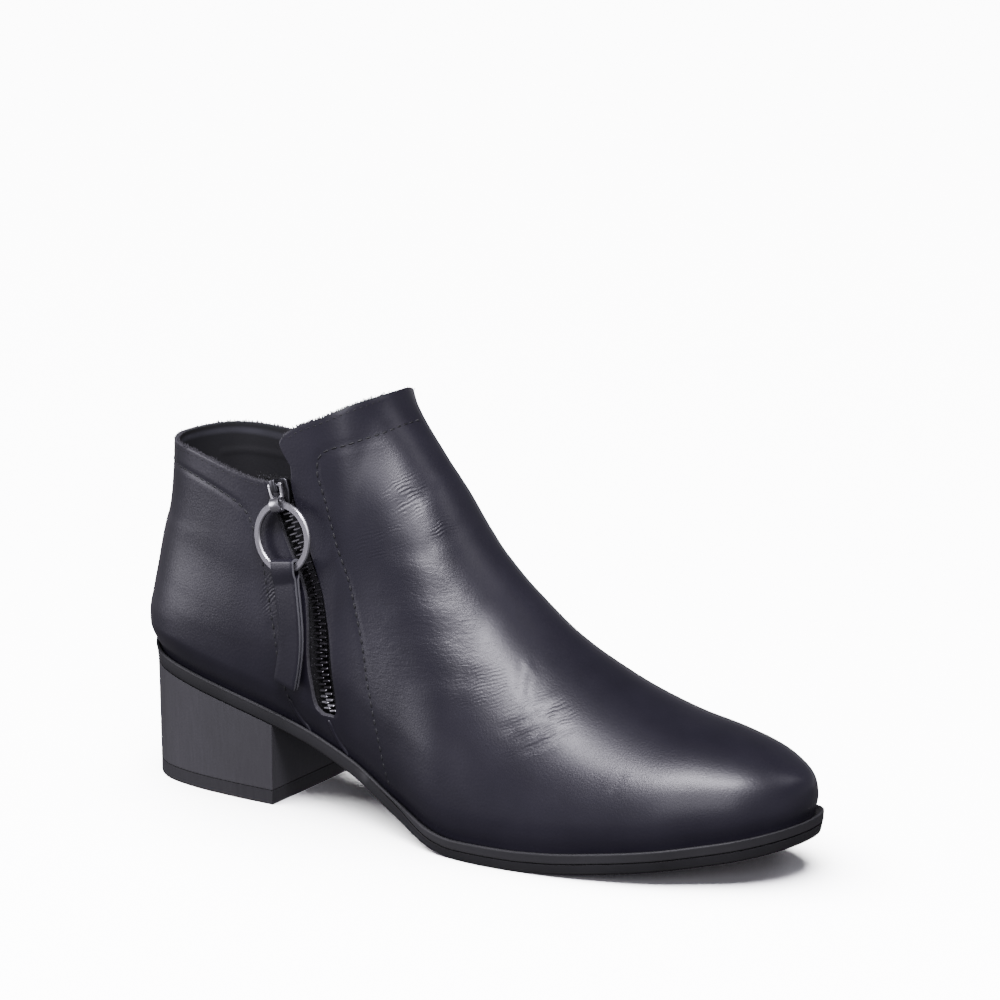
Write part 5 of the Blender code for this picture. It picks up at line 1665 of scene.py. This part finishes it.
def make_tapes():
    """The two woven tapes, with their ends frayed above the slider."""
    outer = WALL + GAP
    half = CHAIN_WIDTH / 2
    for name, node, near, far in (
            ("woven_tape_rear", "zip_tape_rear", -half - GAP - TAPE_WIDTH, -half + CORD_UNDER),
            ("woven_tape_front", "zip_tape_front", half - CORD_UNDER, half + GAP + TAPE_WIDTH)):
        bm = bmesh.new()
        loft_grid(bm, 8, 60, [
            zip_level(TAPE_LOW, TAPE_HIGH, near, far, outer + TAPE_THICKNESS + CHAIN_THICKNESS / 2),
            zip_level(TAPE_LOW, TAPE_HIGH, near, far, outer + CHAIN_THICKNESS / 2),
        ])
        for index in range(FRAY_COUNT):
            share = (index + 0.5) / FRAY_COUNT
            lean = math.sin(index * 2.4) * FRAY_VARIES
            root = zip_point(TAPE_HIGH, near + (far - near) * share, outer + CHAIN_THICKNESS / 2)
            rise = FRAY_LENGTH + FRAY_VARIES * math.cos(index * 1.7)
            add_fibre(bm, root, root + Vector((lean, lean * 0.5, rise)), TAPE_FIBRE, FRAY_STRETCH)
        add_piece(name, bm, (TAPE,), "boot", (node,), 60.0)


def make_teeth():
    """Closed row of teeth, left and right by turns."""
    outer = WALL + GAP
    bm = bmesh.new()
    count = round(ZIP_HEIGHT * (CHAIN_HIGH - CHAIN_LOW) / FINE_PITCH)
    for index in range(2 * count):
        side = -1 if index % 2 else 1
        share = CHAIN_LOW + (CHAIN_HIGH - CHAIN_LOW) * (index + 0.5) / (2 * count)
        level = outer + CHAIN_THICKNESS * 0.30 - CHAIN_LIFT * float(blend(0.0, LIFT_FROM, share))
        root = zip_point(share, side * TOOTH_REACH / 2, level)
        ahead = zip_point(share + 0.01, side * TOOTH_REACH / 2, level)
        outward = zip_point(share, side * TOOTH_REACH / 2, outer)
        deeper = zip_point(share, side * TOOTH_REACH / 2, outer + 0.001)
        along = (ahead - root).normalized()
        normal = (outward - deeper).normalized()
        across = along.cross(normal).normalized()
        turned = Matrix((across, normal, along)).transposed().to_4x4()
        size = Matrix.Diagonal((TOOTH_LENGTH, TOOTH_THICK, TOOTH_BREADTH, 1.0))
        made = bmesh.ops.create_cube(bm, size=1.0, matrix=Matrix.Translation(placed(*root)) @ turned @ size)
        edges = {edge for vert in made["verts"] for edge in vert.link_edges}
        bmesh.ops.bevel(bm, geom=list(edges), offset=TOOTH_SOFT, segments=1, profile=0.5, affect="EDGES",
                        material=-1)
    add_piece("teeth_row", bm, (TEETH,), "boot", ("zip_teeth",), 30.0)


def make_slider_piece(frame, pin_frame):
    """Slider: softened body in the slit and the bail that carries the pull."""
    wide = SLIDER_WIDTH / 2
    narrow = SLIDER_FOOT_WIDTH / 2
    half = SLIDER_LENGTH / 2
    cut = SLIDER_CORNER
    bm = bmesh.new()
    prism_mesh(bm, [(-narrow, -half), (narrow, -half), (wide, 0.0), (wide, half - cut),
                    (wide - cut, half), (cut - wide, half), (-wide, half - cut), (-wide, 0.0)],
               WALL - GAP, -SLIDER_PROUD)
    soften(bm, SLIDER_SOFT, 3)
    bm.transform(frame)
    bail = bmesh.new()
    box_mesh(bail, (-BRIDGE_WIDTH / 2, -BRIDGE_HEIGHT / 2, -BRIDGE_LENGTH / 2),
             (BRIDGE_WIDTH / 2, BRIDGE_HEIGHT / 2 + SLIDER_PROUD, BRIDGE_LENGTH / 2))
    soften(bail, BAIL_SOFT, 3)
    bail.transform(pin_frame)
    join_into(bm, bail)
    add_piece("slider_body", bm, (SLIDER_METAL,), "boot", ("zip_slider",), 30.0)


def join_into(bm, other):
    """Add another mesh to this one."""
    spare = bpy.data.meshes.new("spare")
    other.to_mesh(spare)
    other.free()
    bm.from_mesh(spare)
    bpy.data.meshes.remove(spare)


def spin_section(bm, corners, centre, axis, steps):
    """Spin a closed section right round an axis."""
    verts = [bm.verts.new(corner) for corner in corners]
    edges = [bm.edges.new((verts[i - 1], verts[i])) for i in range(len(verts))]
    bmesh.ops.spin(bm, geom=verts + edges, cent=centre, axis=axis, angle=2 * math.pi, steps=steps,
                   use_merge=True)
    bmesh.ops.recalc_face_normals(bm, faces=bm.faces)


def make_link_piece(frame):
    """Bent bright strip: two arms on the pin and the rolled eye round the ring."""
    inner = BRIDGE_WIDTH / 2 + LINK_SIDE_PLAY
    outer = inner + LINK_ARM
    crotch = -BRIDGE_LENGTH / 2 - LINK_END_PLAY
    bm = bmesh.new()
    prism_mesh(bm, [(-outer, LINK_HEAD), (-outer, crotch - EYE_WALL), (outer, crotch - EYE_WALL),
                    (outer, LINK_HEAD), (inner, LINK_HEAD), (inner, crotch), (-inner, crotch),
                    (-inner, LINK_HEAD)], -LINK_THICKNESS / 2, LINK_THICKNESS / 2)
    soften(bm, LINK_SOFT, 2)
    pin = bmesh.new()
    rod_mesh(pin, (0.0, 0.0, 0.0), PIN_RADIUS, 2 * outer, 24)
    soften(pin, PIN_SOFT, 1)
    join_into(bm, pin)
    eye = bmesh.new()
    centre = (0.0, -EYE_OUT, -LINK_LENGTH)
    half = EYE_WIDTH / 2
    near, far = centre[2] + EYE_BORE, centre[2] + EYE_BORE + EYE_WALL
    corners = [(x, centre[1], z) for x, z in ((-half, near), (half, near), (half, far), (-half, far))]
    spin_section(eye, corners, centre, (1.0, 0.0, 0.0), EYE_STEPS)
    soften(eye, EYE_SOFT, 2, 50.0)
    join_into(bm, eye)
    bm.transform(frame)
    add_piece("bent_link", bm, (BRIGHT_METAL,), "link", ("pull_link",), 35.0)


def make_ring_piece(frame):
    """Flat ring with bright broken edges."""
    drop = RING_RADIUS - RING_BAND / 2
    deep = RING_BAND / 2
    thick = RING_THICKNESS / 2
    flat_deep, flat_thick = deep - RING_SOFT, thick - RING_SOFT
    section = [(-flat_deep, -thick), (flat_deep, -thick), (deep, -flat_thick), (deep, flat_thick),
               (flat_deep, thick), (-flat_deep, thick), (-deep, flat_thick), (-deep, -flat_thick)]
    bm = bmesh.new()
    spin_section(bm, [(0.0, y, z) for z, y in section], (0.0, 0.0, -drop), (0.0, 1.0, 0.0), RING_STEPS)
    for face in bm.faces:
        if 0.3 < abs(face.normal.y) < 0.92:
            face.material_index = 1
    bm.transform(frame)
    add_piece("flat_ring", bm, (RING_METAL, BRIGHT_METAL), "pull", ("pull_ring",), 25.0)


def make_strap(frame):
    """Leather strap folded through the ring: two layers with pale cut edges, curved at the foot."""
    bm = bmesh.new()
    verts = [bm.verts.new((-TAB_WIDTH / 2, y, z)) for y, z in tab_section()]
    edges = [bm.edges.new((verts[i - 1], verts[i])) for i in range(len(verts))]
    face = bmesh.ops.contextual_create(bm, geom=edges)["faces"]
    for step in range(STRAP_ACROSS):
        grown = bmesh.ops.extrude_face_region(bm, geom=face)["geom"]
        if step:
            bmesh.ops.delete(bm, geom=[item for item in face if item.is_valid], context="FACES")
        face = [item for item in grown if isinstance(item, bmesh.types.BMFace)]
        moved = [item for item in grown if isinstance(item, bmesh.types.BMVert)]
        bmesh.ops.translate(bm, verts=moved, vec=(TAB_WIDTH / STRAP_ACROSS, 0.0, 0.0))
    bmesh.ops.recalc_face_normals(bm, faces=bm.faces)
    foot = min(vert.co.z for vert in bm.verts) + TAB_LAYER
    for face in bm.faces:
        if abs(face.normal.x) > 0.7 or (face.normal.z < -0.7 and face.calc_center_median().z < foot):
            face.material_index = 1
    soften(bm, STRAP_SOFT, 2, 50.0)
    for vert in bm.verts:
        vert.co.x *= 1.0 - STRAP_NARROWS * max(-RING_RADIUS - vert.co.z, 0.0) / TAB_LENGTH
    bend_strap(bm.verts)
    bmesh.ops.triangulate(bm, faces=[face for face in bm.faces if len(face.verts) > 4])
    bm.transform(frame)
    add_piece("folded_strap", bm, (STRAP_LEATHER, STRAP_EDGE), "pull", ("pull_tab",), 40.0)


def make_fuzz():
    """Short fibres standing along the raw collar edge."""
    bm = bmesh.new()
    draw = np.random.default_rng(7)
    for rim, side, count in FUZZ_RUNS:
        for index in range(count):
            share = (index + draw.random()) / count
            station, height = rim(min(share, 0.999))
            depth = WALL * draw.random()
            root = outer_point(float(station), float(height) - FUZZ_ROOT, side, depth)
            lean = Vector((draw.normal(), draw.normal(), 0.0)) * FUZZ_LEAN
            tip = root + lean + Vector((0.0, 0.0, FUZZ_LENGTH + FUZZ_VARIES * draw.random()))
            add_fibre(bm, root, tip, COLLAR_FIBRE)
    return add_piece("collar_fibres", bm, (RAW_EDGE,), "boot", smooth=60.0)


# Stage

def make_camera():
    """Camera at the photograph's angle to the boot."""
    azimuth = math.radians(CAMERA_AZIMUTH)
    elevation = math.radians(CAMERA_ELEVATION)
    roll = math.radians(CAMERA_ROLL)
    right = Vector((math.cos(azimuth), math.sin(azimuth), 0.0))
    forward = Vector((-math.sin(azimuth) * math.cos(elevation), math.cos(azimuth) * math.cos(elevation),
                      -math.sin(elevation)))
    up = right.cross(forward)
    place = Vector(CAMERA_AIM) - forward * CAMERA_DISTANCE
    cosine, sine = math.cos(roll), math.sin(roll)
    turn_aside = (cosine * AIM_RIGHT + sine * AIM_DOWN) / FOCAL_PIXELS
    pitch = math.atan2(-sine * AIM_RIGHT + cosine * AIM_DOWN, FOCAL_PIXELS)
    ahead = math.cos(pitch) * forward + math.sin(pitch) * up
    above = -math.sin(pitch) * forward + math.cos(pitch) * up
    swing = Matrix.Rotation(math.atan2(turn_aside, math.cos(pitch)), 3, "Z")
    ahead, above, right = swing @ ahead, swing @ above, swing @ right
    across = cosine * right + sine * above
    upright = -sine * right + cosine * above
    lens = bpy.data.cameras.new("camera")
    lens.sensor_width = SENSOR_MM
    lens.lens = SENSOR_MM * FOCAL_PIXELS / FRAME_PIXELS
    lens.clip_start = 0.05
    lens.clip_end = 50.0
    camera = add_thing("camera", lens)
    axes = Matrix((across, upright, -ahead)).transposed().to_4x4()
    camera.matrix_world = Matrix.Translation(place) @ axes
    bpy.context.scene.camera = camera


def make_light(name, direction, distance, size, power):
    """A soft light that faces the boot from a direction."""
    lamp = bpy.data.lights.new(name, "AREA")
    lamp.shape = "RECTANGLE"
    lamp.size, lamp.size_y = size
    lamp.energy = power
    lamp.color = STUDIO_TINT
    holder = add_thing(name, lamp)
    away = Vector(direction).normalized()
    holder.location = Vector(LIGHT_AIM) + away * distance
    holder.rotation_euler = away.to_track_quat("Z", "Y").to_euler()


def make_sky():
    """Dim even surroundings, a little brighter round the horizon."""
    world = bpy.data.worlds.new("surroundings")
    world.use_nodes = True
    wire = Wire(world.node_tree)
    place = wire.node("TexCoord", {}, {}, "Generated")
    height = dot(wire, place, (0.0, 0.0, 0.5)) + 0.5
    background = world.node_tree.nodes["Background"]
    sky = scaled(wire, height.steps(*SKY_STOPS), STUDIO_TINT)
    world.node_tree.links.new(sky.socket, background.inputs["Color"])
    background.inputs["Strength"].default_value = SKY_STRENGTH
    bpy.context.scene.world = world


def make_stage():
    """Pale floor under its own soft overhead light, dim surroundings and soft studio lights."""
    bm = bmesh.new()
    bmesh.ops.create_grid(bm, x_segments=2, y_segments=2, size=FLOOR_HALF)
    mesh = bpy.data.meshes.new("floor")
    bm.to_mesh(mesh)
    bm.free()
    mesh.materials.append(floor_material())
    floor = add_thing("floor", mesh)
    floor.visible_glossy = False
    floor.visible_diffuse = False
    only_floor = bpy.data.collections.new("lit_floor")
    only_floor.objects.link(floor)
    sun = bpy.data.lights.new("overhead_light", "SUN")
    sun.energy = FLOOR_BRIGHT
    sun.angle = FLOOR_LIGHT_SPREAD
    holder = add_thing("overhead_light", sun)
    holder.rotation_euler = Vector(FLOOR_LIGHT_FROM).to_track_quat("Z", "Y").to_euler()
    holder.light_linking.receiver_collection = only_floor
    make_sky()
    for name, direction, distance, size, power in LIGHTS:
        make_light(name, direction, distance, size, power)


# Materials of this boot

LEATHER = leather_material("black_leather", CREASE_BUNDLES)
STRAP_LEATHER = leather_material("strap_leather", (), False)
RAW_EDGE = cut_edge_material()
LINING = lining_material("black_lining", True)
SOCK = lining_material("sock_lining", False)
SOLE_RUBBER = rubber_material("charcoal_rubber", *SOLE_SHADES, False)
HEEL_RUBBER = rubber_material("heel_rubber", *HEEL_SHADES, True)
LIFT_RUBBER = rubber_material("lift_rubber", *LIFT_SHADES, True)
TREAD = tread_material()
TEETH = teeth_material()
TAPE = tape_material()
THREAD = thread_material()
SLIDER_METAL = metal_material("slider_metal", SLIDER_COLOUR, 0.32, 0.4)
RING_METAL = metal_material("ring_gunmetal", RING_COLOUR, 0.44, 0.2)
BRIGHT_METAL = metal_material("bright_metal", BRIGHT_COLOUR, 0.28, 0.15)
STRAP_EDGE = metal_material("strap_edge_paint", STRAP_EDGE_COLOUR, 0.32, 0.3, 0.0)

make_camera()
make_stage()
make_leather_shell()
make_stitches()
make_seam_laps()
make_fuzz()
make_sole()
make_heel_pieces()
make_sock()
make_tapes()
make_teeth()
SLIDER_FRAME, PIN_FRAME, LINK_FRAME, RING_FRAME, TAB_FRAME = pull_frames()
make_slider_piece(SLIDER_FRAME, PIN_FRAME)
make_link_piece(LINK_FRAME)
make_ring_piece(RING_FRAME)
make_strap(TAB_FRAME)
